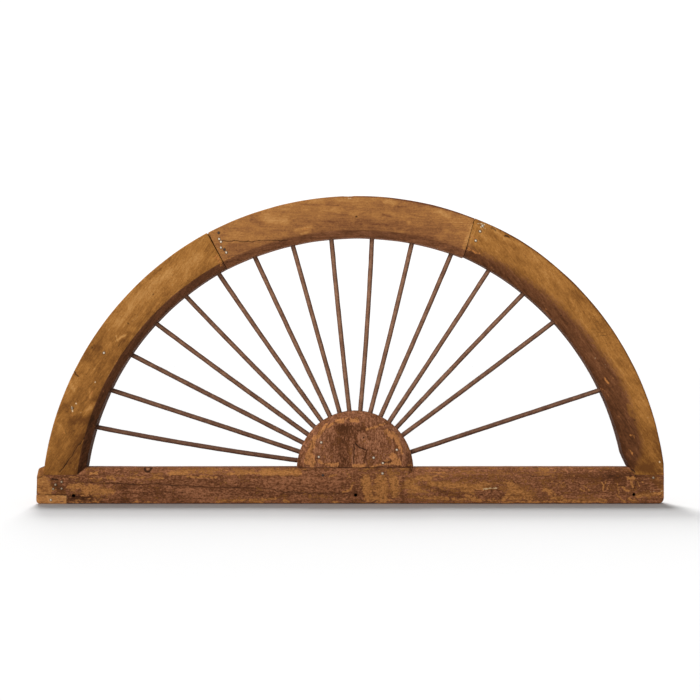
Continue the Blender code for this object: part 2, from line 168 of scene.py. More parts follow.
def old_wood(name, grain, bare, paint, dirt, fleck, rub, seed, flaking=1.0):
    """Worn, handled wood with the remains of paint.

    grain is the angle of its fibres in the side view. bare holds the ramp of the wood
    itself, paint the ramp of the paint, and fleck and rub the light and the warm
    colour where it is freshly chipped or rubbed. flaking is 1 where paint comes off in
    small flakes, and less where it has worn away smoothly. The mesh carries tone,
    paint, dirt, fleck and rub at its points, and each is broken up here.
    """
    finish = Finish(name)
    here = finish.node("ShaderNodeTexCoord", {}, {}, "Object")
    lie = finish.node(
        "ShaderNodeMapping", {}, {"Vector": here, "Rotation": (0, math.radians(grain), 0)}
    )
    broad = finish.noise(lie, (7, 22, 30), seed, detail=3)
    streak = finish.noise(lie, (12, 90, 170), seed + 1, detail=4, rough=0.6)
    fine = finish.noise(lie, (50, 300, 520), seed + 2, detail=3, rough=0.6)
    blotch = finish.noise(lie, (42, 70, 80), seed + 3, detail=5, rough=0.6)
    flake = finish.noise(lie, (130, 190, 210), seed + 6, detail=4, rough=0.65)
    grit = finish.noise(lie, (200, 290, 330), seed + 5, detail=2, rough=0.5)
    speck = finish.noise(lie, (420, 560, 620), seed + 7, detail=1, rough=0.5)
    pits = finish.noise(lie, (260, 420, 480), seed + 4, detail=2)

    tone = (
        finish.painted("tone") + (broad - 0.5) * 0.4 + (streak - 0.5) * (0.22 + 0.18 * flaking)
        + (fine - 0.5) * 0.4 + (blotch - 0.5) * 0.5 + (grit - 0.5) * (0.2 + 0.4 * flaking)
        + (speck - 0.5) * (0.15 + 0.35 * flaking)
    )
    wood = finish.ramp(bare, tone)
    ragged = (streak - 0.5) * 0.8 + (blotch - 0.5) * 1.8 + (flake - 0.5) * 1.7 + (grit - 0.5) * 1.2
    sharp = 1.2 + 4.8 * flaking
    cover = ((finish.painted("paint") - 0.5 + ragged * flaking) * sharp + 0.5).limited()
    mottle = (
        finish.painted("tone") + (blotch - 0.5) * (0.9 * flaking + 0.1) + (streak - 0.5) * 0.9
        + (flake - 0.5) * (1.3 * flaking) + (grit - 0.5) * (1.6 * flaking) + (fine - 0.5) * 0.6
        + (speck - 0.5) * (0.9 * flaking)
    )
    colour = finish.mix(cover, wood, finish.ramp(paint, mottle))

    # Old paint is crazed: fine dark cracks part it into scales
    sway = finish.node("ShaderNodeCombineXYZ", {}, {0: flake * 2.5, 1: grit * 3.0, 2: blotch * 3.0})
    scales = finish.node(
        "ShaderNodeVectorMath", {"operation": "MULTIPLY_ADD"}, {0: lie, 1: (120, 170, 200), 2: sway}
    )
    edge = finish.node(
        "ShaderNodeTexVoronoi", {"feature": "DISTANCE_TO_EDGE"}, {"Vector": scales, "Scale": 1.0}
    )
    crazing = ((0.09 - edge) * 9).limited() * cover * (0.6 * flaking)
    colour = finish.mix(crazing * 0.55, colour, dirt)

    # The marks: wood rubbed warm, wood chipped pale, and dirt in the cracks and pits, with painted
    # shade inside the fixing holes
    warm = ((flake - 0.5) * 2.4 + (grit - 0.5) * 3 + (speck - 0.5) * 2 + 0.68).limited()
    warm = finish.mix(warm, tuple(share * 0.45 for share in rub), rub)
    rubbed = ((finish.painted("rub") - 0.5 + ragged * 0.75) * 5 + 0.5).limited()
    colour = finish.mix(rubbed * 0.95, colour, warm)
    chipped = ((finish.painted("fleck") - 0.5 + (grit - 0.5) * 1.6) * 4 + 0.4).limited()
    colour = finish.mix(chipped, colour, fleck)
    grime_and_shade = ((finish.painted("dirt") - 0.5 + ragged * 0.35) * 2.2 + 0.4).limited()
    pitted = ((pits - 0.66) * 12).limited() * 0.5
    dark = finish.node("ShaderNodeMath", {"operation": "MAXIMUM"}, {0: grime_and_shade, 1: pitted})
    colour = finish.mix(dark * 0.9, colour, dirt)

    height = (
        cover * 0.5 + fine * 0.6 + streak * 0.4 + grit + speck * 0.5 - pitted - chipped * 0.5
        - crazing * 0.8 - rubbed * 0.4
    )
    finish.feed(finish.shader, {
        "Base Color": colour, "Normal": finish.bump(0.45 + 0.4 * flaking, 0.0006, height),
        "Roughness": 0.80 - cover * 0.08 + dark * 0.12 + (fine - 0.5) * 0.2,
        "Specular IOR Level": 0.06,
    })
    return finish.material


def ripple(places, cell, seed):
    """Smooth noise from 0 to 1, in cells given in metres along each axis."""
    spot = places / np.array(cell) + seed * 17.31
    corner = np.floor(spot).astype(np.int64)
    part = spot - corner
    part = part * part * (3 - 2 * part)
    total = np.zeros(len(places))
    for step in itertools.product((0, 1), repeat=3):
        at = (corner + step) * np.array((73856093, 19349663, 83492791))
        key = at[:, 0] ^ at[:, 1] ^ at[:, 2]
        key = ((key ^ (key >> 13)) * 1274126177) & 0x7FFFFFFF
        share = np.prod(np.where(np.array(step), part, 1 - part), axis=1)
        total += ((key ^ (key >> 15)) & 0xFFFF) / 0xFFFF * share
    return total


def rise(value, start, reach):
    """From 0 at a start to 1 a reach beyond it. A negative reach runs the other way."""
    return np.clip((value - start) / reach, 0, 1)


def strokes(places, marks, add=False):
    """How strongly a set of marks shows at each place on the front.

    A mark is a dot, a stroke or a longer line: the X and Z of its points and then its
    width, in millimetres, and last its strength.
    """
    total = np.zeros(len(places))
    for *line, width, strength in marks:
        points = np.array(line).reshape(-1, 2) / 1000
        for start, end in zip(points, points[1:] if len(points) > 1 else points):
            run = end - start
            away = places[:, [0, 2]] - start
            part = np.clip(away @ run / max(run @ run, 1e-9), 0, 1)
            away = np.linalg.norm(away - part[:, None] * run, axis=1)
            near = np.clip(1 - away / (width / 1000), 0, 1)
            near = near * near * (3 - 2 * near) * strength
            total = total + near if add else np.maximum(total, near)
    return total


def new_mesh(name, shape):
    """A mesh from a bmesh, with its faces outwards."""
    bmesh.ops.recalc_face_normals(shape, faces=shape.faces)
    if shape.calc_volume(signed=True) < 0:
        bmesh.ops.reverse_faces(shape, faces=shape.faces)
    mesh = bpy.data.meshes.new(name)
    shape.to_mesh(mesh)
    shape.free()
    return mesh


def read(mesh, field="co"):
    values = np.empty(len(mesh.vertices) * 3)
    mesh.vertices.foreach_get(field, values)
    return values.reshape(-1, 3)


def place_points(mesh, *axes):
    """Put the mesh's points where their new X, Y and Z say."""
    mesh.vertices.foreach_set("co", np.stack(axes, axis=1).ravel())
    mesh.update()


def outline(shape, corners):
    """A closed outline. Each corner comes with the parts that its next side has."""
    verts = [shape.verts.new(place) for place, parts in corners]
    sides = [shape.edges.new(pair) for pair in zip(verts, verts[1:] + verts[:1])]
    for side, (place, parts) in zip(sides, corners):
        if parts > 1:
            bmesh.ops.subdivide_edges(shape, edges=[side], cuts=parts - 1)
    return bmesh.ops.contextual_create(shape, geom=shape.edges[:])["faces"]


def drawn_along(shape, geometry, length, steps):
    """Draw an outline out along +X, and cut it across into equal steps."""
    made = bmesh.ops.extrude_face_region(shape, geom=geometry)["geom"]
    verts = [item for item in made if isinstance(item, bmesh.types.BMVert)]
    bmesh.ops.translate(shape, verts=verts, vec=(length, 0, 0))
    lengthways = [
        edge for edge in shape.edges if abs(edge.verts[0].co.x - edge.verts[1].co.x) > length / 2
    ]
    bmesh.ops.subdivide_edges(shape, edges=lengthways, cuts=steps - 1, use_grid_fill=True)


def sawn(mesh, tool, operation="DIFFERENCE"):
    """A mesh with a tool's mesh cut out of it, or joined to it."""
    stock, saw = (bpy.data.objects.new(item.name, item) for item in (mesh, tool))
    for item in (stock, saw):
        bpy.context.scene.collection.objects.link(item)
    step = stock.modifiers.new("saw", "BOOLEAN")
    step.operation, step.solver, step.object = operation, "MANIFOLD", saw
    graph = bpy.context.evaluated_depsgraph_get()
    result = bpy.data.meshes.new_from_object(stock.evaluated_get(graph))
    for item in (stock, saw):
        bpy.data.objects.remove(item, do_unlink=True)
    return result


def add_box(shape, low, high):
    low, high = Vector(low), Vector(high)
    size = Matrix.Diagonal((*(high - low), 1))
    bmesh.ops.create_cube(shape, size=1, matrix=Matrix.Translation((low + high) / 2) @ size)


def add_bore(shape, start, end, radius):
    along = end - start
    turn = along.to_track_quat("Z", "Y").to_matrix().to_4x4()
    bmesh.ops.create_cone(
        shape, cap_ends=True, segments=20, radius1=radius, radius2=radius,
        depth=along.length, matrix=Matrix.Translation((start + end) / 2) @ turn,
    )


def carry(mesh, **fields):
    """Give the mesh's points the values that its finish reads."""
    for name, values in fields.items():
        field = mesh.attributes.new(name, "FLOAT", "POINT")
        field.data.foreach_set("value", values.astype(np.float32))


def wear(mesh, marks, front, tone, paint, uneven):
    """Lay a piece's marks on its front, and press its cracks and unevenness in.

    The marks are tone, wood that is lighter or darker; bare, where paint is worn thin; rub
    and fleck, where it is rubbed warm or chipped pale; dirt; and crack, whose strength is
    its depth in millimetres.
    """
    places = read(mesh)
    x, y, z = places.T
    # The marks wander a little, so that none has a drawn edge
    wander = [ripple(places, (WANDER_CELL,) * 3, seed) - 0.5 for seed in (31, 32, 33)]
    loose = places + np.stack(wander, axis=1) * WANDER
    tones, bare, rub, fleck, dirt, crack = (
        strokes(loose, marks.get(kind, ()), kind in ("tone", "bare")) * front
        for kind in ("tone", "bare", "rub", "fleck", "dirt", "crack")
    )
    # The walls of the fixing holes are painted dark, with dirt and with painted shade, and iron has
    # stained the wood round each nail
    for hole_x, hole_z in FIXINGS:
        bore = np.hypot(x - hole_x, z - hole_z) < FIXING_RADIUS * 1.1
        dirt[bore & (y > FRONT + 0.0005)] = 2
    for nail in NAILS.values():
        near = (STAIN_REACH - np.hypot(x - nail.x, z - nail.z)) / STAIN_FADE
        dirt = np.maximum(dirt, np.clip(near, 0, STAIN_DEPTH) * front)
    carry(mesh, tone=tone + tones, paint=paint - bare, rub=rub, fleck=fleck, dirt=dirt)
    depth = uneven + crack / 1000
    place_points(mesh, *(places - read(mesh, "normal") * np.maximum(depth, 0)[:, None]).T)


def add_piece(name, mesh, material, slot, *nodes):
    """A finished piece, which stands for the CAD nodes named."""
    mesh.materials.clear()
    mesh.materials.append(material)
    mesh.shade_smooth()
    mesh.set_sharp_from_angle(angle=math.radians(38))
    piece = bpy.data.objects.new(name, mesh)
    window.objects.link(piece)
    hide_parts(*nodes)
    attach(piece, "root")
    return piece


SPLIT = (
    -506, 42, -450, 39, -403, 37, -375, 39, -338, 36, -276, 31, -210, 31, -157, 28, -126, 22, -84,
    21, -24, 19, 8, 19,
)
END_SPLIT = (-543, 44, -525, 40, -508, 42)
LOW_SPLIT = (-549, 15, -524, 13, -495, 11, -475, 10)
FLAKE_EDGE = (-108, 28, -106, 33, -81, 33, -63, 28)
KNOT = (-401, 68, -398, 63, -391, 63, -387, 68, -391, 72, -398, 72, -401, 68)
SILL_MARKS = {"tone": [
    (-585, 34, -575, 24, 9, 0.16), (-605, 66, -598, 60, 8, -0.14), (-530, 64, -495, 62, 7, -0.12),
    (-540, 14, -518, 13, 8, -0.18), (-512, 4, -502, 4, 6, 0.18), (36, 46, 42, 38, 8, 0.16),
    (-166, 26, -152, 26, 9, 0.2), (548, 58, 562, 56, 8, -0.16), (-603, 66, -600, 20, 18, -0.04),
    (-608, 74, -590, 73, 7, -0.25), (-311, 28, -268, 15, 14, 0.12), (-250, 22, -210, 30, 10, -0.1),
    (-395, 24, -330, 18, 14, -0.08), (-190, 20, -120, 18, 12, -0.1), (-540, 28, -470, 24, 20, 0.1),
    (-575, 40, -562, 24, 16, -0.22), (590, 50, 604, 30, 16, -0.18), (420, 60, 540, 60, 12, -0.1),
    (496, 56, 530, 44, 16, -0.16), (505, 57, 558, 56, 13, -0.26), (405, 60, 430, 56, 10, -0.12),
    (562, 58, 602, 57, 7, -0.15), (-498, 57, -476, 57, 8, -0.2), (-545, 10, -505, 9, 10, -0.3),
    (-240, 44, -225, 42, 10, 0.28), (-530, 28, -524, 22, 8, -0.14), (556, 30, 578, 26, 14, -0.1),
    (-450, 20, -424, 18, 15, 0.12), (-463, 66, -409, 66, 13.6, -0.1), (-370, 17, -261, 19, 17.5, 0.02),
    (-438, 31, -436, 4, 17.5, -0.22), (-167, 39, -24, 35, 19, 0.2), (-90, 58, -10, 54, 13.6, 0.2),
    (-260, 22, -180, 18, 16, 0.12), (-105, 11, -43, 11, 9.8, 0.12), (-222, 21, -160, 21, 9.7, -0.12),
    (10, 25, 11, 23, 13.6, -0.22), (102, 60, 102, 4, 5.8, -0.2), (258, 17, 289, 19, 17, 0.2),
    # The light strokes at (-517, 64) and (544, 70) are painted highlights where the chamfers meet at
    # each foot of the arch
    (447, 58, 521, 46, 17.5, -0.15), (-580, 35, -556, 31, 11.7, -0.2), (-517, 64, -525, 58, 5.8, 0.3),
    (544, 70, 556, 60, 5.8, 0.3), (564, 46, 603, 42, 17.5, -0.12), (-350, 31, -269, 7, 15.6, 0.12),
    (144, 33, 214, 15, 9.7, -0.14), (303, 66, 361, 58, 9.7, -0.1),
], "bare": [
    (-588, 44, -577, 25, 9, 0.3), (-606, 62, -592, 20, 20, 0.2), (-160, 38, -24, 34, 18, -0.4),
    (-90, 58, -16, 54, 14, -0.4), (-330, 25, -230, 21, 18, -0.25), (258, 17, 290, 19, 15, -0.8),
    (-607, 68, -591, 7, 19, 0.95), (-575, 42, -560, 24, 15, 0.35), (590, 52, 606, 30, 15, 0.5),
    (-350, 64, -101, 62, 11.7, 0.26), (-171, 62, -97, 58, 11.7, 0.2), (-496, 52, -370, 50, 7.8, 0.3),
    (-537, 29, -467, 25, 17.5, 0.25), (303, 23, 354, 23, 19.4, 0.12), (124, 66, 361, 64, 9.7, -0.14),
    (155, 39, 266, 33, 11.7, 0.3), (27, 35, 89, 31, 25, 0.12), (113, 37, 148, 23, 17.5, 0.3),
    (408, 9, 486, 7, 9.7, 0.3), (-261, 9, -144, 7, 9.7, 0.3), (556, 17, 608, 15, 9.7, 0.3),
], "rub": [
    (-472, 52, -459, 48, 5.4, 0.85), (-506, 49, -479, 47, 3.3, 0.6), (-434, 52, -401, 52, 3.3, 0.6),
    (-384, 52, -364, 50, 4.3, 0.75), (-416, 41, -403, 41, 2.3, 0.6), (-350, 58, -319, 59, 7, 0.8),
    (-315, 52, -261, 52, 5.4, 0.7), (-282, 66, -241, 66, 3.9, 0.4), (-498, 4, -488, 4, 4.7, 0.8),
    (-506, 4, -494, 4, 4.3, 0.7), (-424, 3, -374, 3, 3.5, 0.5), (-257, 5, -241, 7, 5.8, 0.75),
    (-230, 5, -204, 9, 5.1, 0.65), (-195, 7, -171, 2, 5.8, 0.75), (-171, 9, -144, 11, 4.3, 0.65),
    (-129, 6, -117, 4, 5.1, 0.9), (-34, 4, -25, 4, 4.3, 0.8), (-39, 54, -28, 55, 5.1, 0.8),
    (-5, 58, 2, 50, 4.3, 0.55), (-14, 23, 0, 27, 4, 37, 3.3, 0.75), (30, 48, 38, 12, 22, 0.78),
    (60, 46, 62, 10, 25, 0.82), (-171, 60, -97, 60, 10, 0.66), (-240, 58, -180, 60, 6, 0.6),
    (84, 48, 87, 19, 16, 0.74), (130, 50, 155, 50, 8, 0.9), (113, 42, 130, 26, 10, 0.8),
    (111, 25, 137, 25, 4.3, 0.75), (118, 13, 159, 11, 5.8, 0.55), (150, 61, 188, 61, 2.3, 0.75),
    (150, 54, 188, 54, 2.3, 0.75), (155, 40, 198, 35, 266, 32, 8, 0.82), (371, 46, 393, 44, 3.3, 0.5),
    (400, 39, 408, 42, 3.1, 0.55), (311, 37, 350, 11, 18, 0.62), (411, 37, 413, 33, 1.9, 0.8),
    (418, 38, 418, 33, 1.9, 0.8), (413, 40, 417, 40, 1.9, 0.8), (412, 32, 417, 32, 1.9, 0.8),
    (424, 55, 437, 54, 2.3, 0.7), (418, 55, 408, 55, 1.9, 0.3), (490, 40, 494, 35, 492, 27, 2.9, 0.85),
    (498, 44, 496, 37, 2.3, 0.7), (503, 37, 501, 29, 2.5, 0.7), (455, 37, 459, 31, 3.5, 0.7),
    (447, 29, 455, 25, 3.5, 0.7), (463, 29, 466, 23, 3.1, 0.7), (478, 9, 500, 7, 4.3, 0.7),
    (414, 7, 457, 5, 4.3, 0.6), (486, 2, 500, 2, 2.9, 0.7), (541, 50, 552, 50, 6, 1),
    (547, 42, 550, 34, 5.4, 0.9), (567, 43, 568, 42, 2.9, 0.65), (559, 42, 561, 35, 3.3, 0.65),
    (520, 39, 522, 21, 3.7, 0.7), (525, 33, 535, 31, 3.3, 0.7), (533, 28, 544, 25, 4.3, 0.75),
    (519, 17, 527, 9, 4.1, 0.7), (527, 7, 535, 2, 3.7, 0.7), (542, 9, 550, 5, 5.1, 0.9),
    (552, 8, 560, 5, 3.9, 0.7), (558, 15, 583, 18, 608, 22, 3.8, 1.2), (408, 71, 540, 71, 2.3, 0.5),
    (-547, 33, -525, 36, 10, 0.85), (-518, 31, -492, 33, 13, 0.7), (-518, 21, -463, 25, 13, 0.62),
    (-535, 8, -490, 8, 6, 0.5), (-550, 52, -529, 50, 2.5, 0.7), (-506, 60, -493, 60, 5.1, 0.75),
    (-552, 3, -506, 3, 2.7, 0.6), (249, 39, 301, 40, 7, 0.5), (226, 16, 250, 8, 8, 0.7),
    (160, 11, 190, 10, 9, 0.62), (220, 27, 238, 26, 9, 0.8), (312, 11, 330, 11, 9, 0.66),
    (392, 11, 410, 11, 10, 0.75), (160, 27, 168, 26, 5, 0.5), (300, 10, 316, 30, 11, 0.72),
    (200, 8, 300, 6, 7, 0.5), (380, 30, 400, 12, 14, 0.5), (486, 66, 533, 62, 3.9, 0.2),
    (303, 4, 496, 4, 4, 0.6),
], "fleck": [
    (13, 10, 3.1, 0.6), (-45, 18, 4, 17, 1.9, 0.3), (260, 30, 284, 31, 2.3, 0.95), (581, 9, 3.9, 0.45),
    (585, 23, 609, 24, 2, 0.5), (593, 31, 601, 31, 1.9, 0.35), (-394, 68, 3, 0.5),
    (-432, 55, 2.3, 0.5), (-514, 70, -510, 71, 2.3, 0.4), (-144, 64, -113, 58, 4.9, 0.2),
    (-311, 35, -331, 36, 1.9, 0.3),
], "dirt": [
    (-607, 49, -597, 56, -586, 57, -527, 57, 2.3, 0.75), (-579, 49, -569, 47, 3.3, 1),
    (*END_SPLIT, 2.3, 0.7), (*SPLIT, 2.4, 0.74), (*LOW_SPLIT, 2.1, 0.7), (*FLAKE_EDGE, 2.1, 0.7),
    (-527, 42, -521, 37, 2.7, 0.7), (-551, 15, -541, 14, 2.7, 0.85), (-540, 12, -512, 10, 8, 0.5),
    (-609, 17, -552, 17, 1.8, 0.75), (-552, 17, -552, 1, 1.8, 0.6), (*KNOT, 3.4, 1.2),
    (358, 71, 367, 71, 4.3, 1), (351, 54, 408, 53, 2.1, 0.6), (294, 51, 2.7, 0.45), (63, 50, 3.9, 0.6),
    (59, 42, 60, 35, 3.1, 0.5), (87, 25, 5.8, 0.35), (146, 32, 5.8, 0.45), (126, 41, 2.7, 0.5),
    (144, 37, 151, 27, 5.1, 0.42), (167, 33, 186, 19, 6.6, 0.4), (190, 21, 214, 11, 6.6, 0.4),
    (239, 24, 249, 11, 3.9, 0.5), (555, 61, 555, 27, 2.1, 0.75), (585, 51, 2.9, 0.65),
    (10, 24, 11, 10, 8, 0.1), (-53, 55, 4.7, 0.5), (-90, 68, 122, 71, 1.9, 0.7),
    (573, 26, 610, 25, 1.6, 0.3), (544, 72, 556, 61, 2.3, 0.5), (0, 40, 4, 48, 2.5, 0.4),
    (31, 39, 37, 27, 2.7, 0.4), (46, 54, 52, 46, 2.5, 0.4), (76, 42, 80, 35, 2.9, 0.4),
], "crack": [
    (*SPLIT, 2.1, 0.9), (*FLAKE_EDGE, 1.8, 0.7), (-579, 49, -569, 47, 2.9, 1.2),
    (-551, 15, -541, 14, 2.3, 0.6), (358, 73, 367, 72, 5.1, 1.6), (555, 61, 555, 27, 1.8, 0.5),
    (-53, 55, 3.9, 0.8), (351, 54, 408, 53, 1.9, 0.5), (*END_SPLIT, 1.9, 0.6), (*LOW_SPLIT, 1.9, 0.6),
]}


def make_sill():
    """Drawn out as a plain block in equal steps, then fitted to its ends and chamfer."""
    shape = bmesh.new()
    low, high = SILL_LOW, SILL_HIGH
    chamfer = high.z - SILL_CHAMFER
    ring = outline(shape, [
        ((low.x, FRONT, FRONT_EASE), 36), ((low.x, FRONT, chamfer), 12),
        ((low.x, FRONT + SILL_CHAMFER, high.z), 14), ((low.x, BACK - EASE, high.z), 1),
        ((low.x, BACK, high.z - EASE), 14), ((low.x, BACK, EASE), 1),
        ((low.x, BACK - EASE, 0), 14), ((low.x, FRONT + FRONT_EASE, 0), 1),
    ])
    drawn_along(shape, ring, high.x - low.x, steps=800)
    mesh = new_mesh("sill", shape)
    x, y, z = read(mesh).T

    # Where the chamfer stops at the hub, its points go back to the square corner
    hair = 1e-5
    share = rise(z, chamfer, SILL_CHAMFER)
    on_slope = (y < FRONT + SILL_CHAMFER + hair) & (z > chamfer - hair)
    clear = np.abs(x - HUB_CENTRE.x) - CHAMFER_STOP - share * SILL_CHAMFER
    square = on_slope * rise(clear, STOP_SLOPE, -STOP_SLOPE)
    corner_y = FRONT + np.maximum(share * 2 - 1, 0) * SILL_CHAMFER
    corner_z = chamfer + np.minimum(share * 2, 1) * SILL_CHAMFER
    y = y + (corner_y - y) * square
    z = z + (corner_z - z) * square

    # Round the end corners, with the steps drawn together towards the ends
    bottom, top = np.zeros_like(x), np.full_like(x, high.z)
    for side, (lower, upper) in ((-1, LEFT_CORNERS), (1, RIGHT_CORNERS)):
        inset = high.x - side * x
        near = inset < lower
        turn = rise(inset, 0, lower) * math.pi / 2
        x = np.where(near, side * (high.x - lower * (1 - np.cos(turn))), x)
        inset = np.where(near, lower * (1 - np.cos(turn)), inset)
        low_rise, high_rise = (
            radius - np.sqrt(np.maximum(radius ** 2 - np.maximum(radius - inset, 0) ** 2, 0))
            for radius in (lower, upper)
        )
        bottom += np.where(near, low_rise, 0)
        top -= np.where(near, high_rise, 0)
    z = bottom + z * (top - bottom) / high.z
    x = x + rise(x, low.x + END_REACH, -END_REACH) * END_SLOPE * z / high.z
    place_points(mesh, x, y, z)

    tools = bmesh.new()
    add_box(
        tools, (low.x - EASE, FRONT - EASE, -EASE),
        (low.x + PATCH_LENGTH + GAP, FRONT + PATCH_DEPTH + GAP, PATCH_HEIGHT + GAP),
    )
    # Each fixing hole is clogged with dirt a little way in from the back
    clog_front, clog_back = FIXING_CLOG
    for x, z in FIXINGS:
        add_bore(tools, Vector((x, FRONT * 2, z)), Vector((x, clog_front, z)), FIXING_RADIUS)
        add_bore(tools, Vector((x, clog_back, z)), Vector((x, BACK * 2, z)), FIXING_RADIUS)
    return sawn(mesh, new_mesh("sill_tools", tools))


sill = make_sill()
places = read(sill)
x, y, z = places.T
# The paint is thicker below the chamfer, and thinner and darker on the right
slope = rise(z, 0.050, 0.006)
right_half = np.interp(x, (0.02, 0.10, 0.33, 0.45), (0, 1, 1, 0.5))
wear(
    sill, SILL_MARKS,
    front=rise(y, FRONT + SILL_CHAMFER + 0.009, -0.006),
    tone=0.49 + 0.03 * slope - 0.04 * right_half,
    paint=0.84 - 0.06 * slope - 0.24 * right_half,
    uneven=ripple(places, (0.09, 0.03, 0.012), 1) * 0.0005
    + ripple(places, (0.02, 0.006, 0.004), 2) * 0.0003,
)
add_piece("sill_rail", sill, old_wood(
    "sill_wood", grain=0, seed=3,
    bare=(
        (0.2, (0.13, 0.046, 0.014)), (0.42, (0.27, 0.108, 0.031)), (0.6, (0.39, 0.170, 0.048)),
        (0.8, (0.50, 0.245, 0.078)),
    ),
    paint=(
        (0.0, (0.070, 0.024, 0.009)), (0.34, (0.143, 0.051, 0.020)), (0.60, (0.235, 0.089, 0.038)),
        (0.95, (0.38, 0.155, 0.070)),
    ),
    dirt=(0.034, 0.013, 0.006), fleck=(0.55, 0.38, 0.20), rub=(0.45, 0.187, 0.054),
), "painted_wood", "sill")


# PATCH
# A lighter block of newer softwood, let into a rebate where the sill's lower left corner
# had rotted away. It is glued and held with one nail.
PATCH_TOP_EASE, PATCH_LOW_EASE = 0.0006, 0.0008
PATCH_MARKS = {"tone": [(-585, 10, -582, 4, 10, 0.2)], "dirt": [(-607, 16, -553, 16, 1.5, 0.7)]}


def make_patch():
    """Drawn out as a plain block, then rounded at its lower left corner like the sill."""
    shape = bmesh.new()
    low, top, rear = SILL_LOW, PATCH_HEIGHT, FRONT + PATCH_DEPTH
    ring = outline(shape, [
        ((low.x, FRONT, PATCH_LOW_EASE), 12), ((low.x, FRONT, top - PATCH_TOP_EASE), 1),
        ((low.x, FRONT + PATCH_TOP_EASE, top), 10), ((low.x, rear, top), 8),
        ((low.x, rear, 0), 10), ((low.x, FRONT + PATCH_LOW_EASE, 0), 1),
    ])
    drawn_along(shape, ring, PATCH_LENGTH, steps=44)
    mesh = new_mesh("patch", shape)
    x, y, z = read(mesh).T
    radius = LEFT_CORNERS[0]
    turn = rise(x, low.x, radius) * math.pi / 2
    x = np.where(turn < math.pi / 2, low.x + radius * (1 - np.cos(turn)), x)
    bottom = radius * (1 - np.sin(turn))
    place_points(mesh, x, y, bottom + z * (1 - bottom / top))
    return mesh


patch = make_patch()
places = read(patch)
x, y, z = places.T
wear(
    patch, PATCH_MARKS, front=y < FRONT + 0.006,
    tone=0.59 + 0.08 * rise(x, -0.565, 0.01), paint=0.1,
    uneven=ripple(places, (0.02, 0.006, 0.004), 3) * 0.0005,
)
add_piece("patch_block", patch, old_wood(
    "patch_wood", grain=0, seed=11,
    bare=(
        (0.2, (0.15, 0.054, 0.020)), (0.42, (0.30, 0.120, 0.038)), (0.62, (0.43, 0.187, 0.056)),
        (0.8, (0.53, 0.255, 0.09)),
    ),
    paint=((0.2, (0.11, 0.040, 0.018)), (0.8, (0.19, 0.070, 0.034))),
    dirt=(0.030, 0.012, 0.006), fleck=(0.60, 0.42, 0.20), rub=(0.45, 0.19, 0.045),
), "patch_wood", "sill_patch")


# FELLOES
# The arch: three curved lengths of softwood, sawn from planks so that the fibres run
# straight across the curve, and slotted together with tongues. Their inner front edge is
# chamfered, and each foot is scribed over the sill and tenoned into it.
CENTRE = Vector((0.0105, 0, -0.012))
# The arcs of the soffits and the outer edges: the X and Z of each centre, and the radius
SOFFITS = {
    "arch_left": (0.0090, -0.0093, 0.5302),
    "arch_crown": (0.0145, -0.0480, 0.5667),
    "arch_right": (-0.0070, -0.0200, 0.5515),
}
EDGES = {
    "arch_left": (0.0190, -0.0174, 0.6207),
    "arch_crown": (0.0131, -0.0226, 0.6218),
    "arch_right": (0.0068, -0.0022, 0.6086),
}
# The angles of each felloe's two ends, each at the soffit and at the outer edge
ENDS = {
    "arch_left": ((174.6, 174.6), (118.13, 118.24)),
    "arch_crown": ((118.07, 117.98), (66.85, 67.80)),
    "arch_right": ((66.79, 67.74), (5.4, 5.4)),
}
# Where each foot lies along its felloe's sweep: the end of it, and a place clear of the sill
SCRIBED = {"arch_left": (0.0, 0.12), "arch_right": (1.0, 0.88)}
SCRIBE_HALVINGS = 24
FELLOE_WIDTH, EDGE_BAND = 0.09, 0.02
ARCH_CHAMFER = 0.014
SILL_TOP = SILL_HEIGHT + GAP
# The right felloe's top is dressed down over so many degrees, and its foot is relieved
DRESSED_FROM, DRESSED_SWEEP, DRESSED_DEPTH = 59, 8.7, 0.003
FOOT_RELIEF = ((0.5304, 0.100), (0.5449, 0.070))
# Each tongue starts inside its own felloe and reaches into the next one, in degrees
TONGUE_ROOT, TONGUE_REACH = 1.2, 4.5
TONGUE_INSET, TONGUE_OUTSET, TONGUE_THICKNESS = 0.012, 0.0004, 0.020


def arc_points(arc, degrees):
    """Where a felloe's arc is met at angles about the arch's centre, as X and Z."""
    turn = np.radians(degrees)
    aim = np.stack((np.cos(turn), np.sin(turn)), axis=-1)
    centre = np.array((CENTRE.x, CENTRE.z))
    away = np.array(arc[:2]) - centre
    along = aim @ away
    reach = along + np.sqrt(arc[2] ** 2 - away @ away + along ** 2)
    return centre + aim * reach[..., None]


def bent(node, first, last, share, reach):
    """The place round a felloe, as X and Z, of a share of its sweep and a reach from its
    soffit. First and last are the angles of its two ends, at the soffit and outside."""
    inner = arc_points(SOFFITS[node], first[0] + (last[0] - first[0]) * share)
    turn = first[1] + (last[1] - first[1]) * share
    outer = arc_points(EDGES[node], turn)
    if node == "arch_right":
        # Its outer edge is dressed down at the top, to run on from the crown felloe
        aim = np.stack((np.cos(np.radians(turn)), np.sin(np.radians(turn))), axis=-1)
        dressed = rise(turn, DRESSED_FROM, DRESSED_SWEEP) * DRESSED_DEPTH
        outer = outer - aim * dressed[:, None]
    across = outer - inner
    width = np.linalg.norm(across, axis=1)
    middle = rise(reach, EDGE_BAND, FELLOE_WIDTH - 2 * EDGE_BAND)
    reach = reach + (width - FELLOE_WIDTH) * middle
    return inner + across * (reach / width)[:, None]


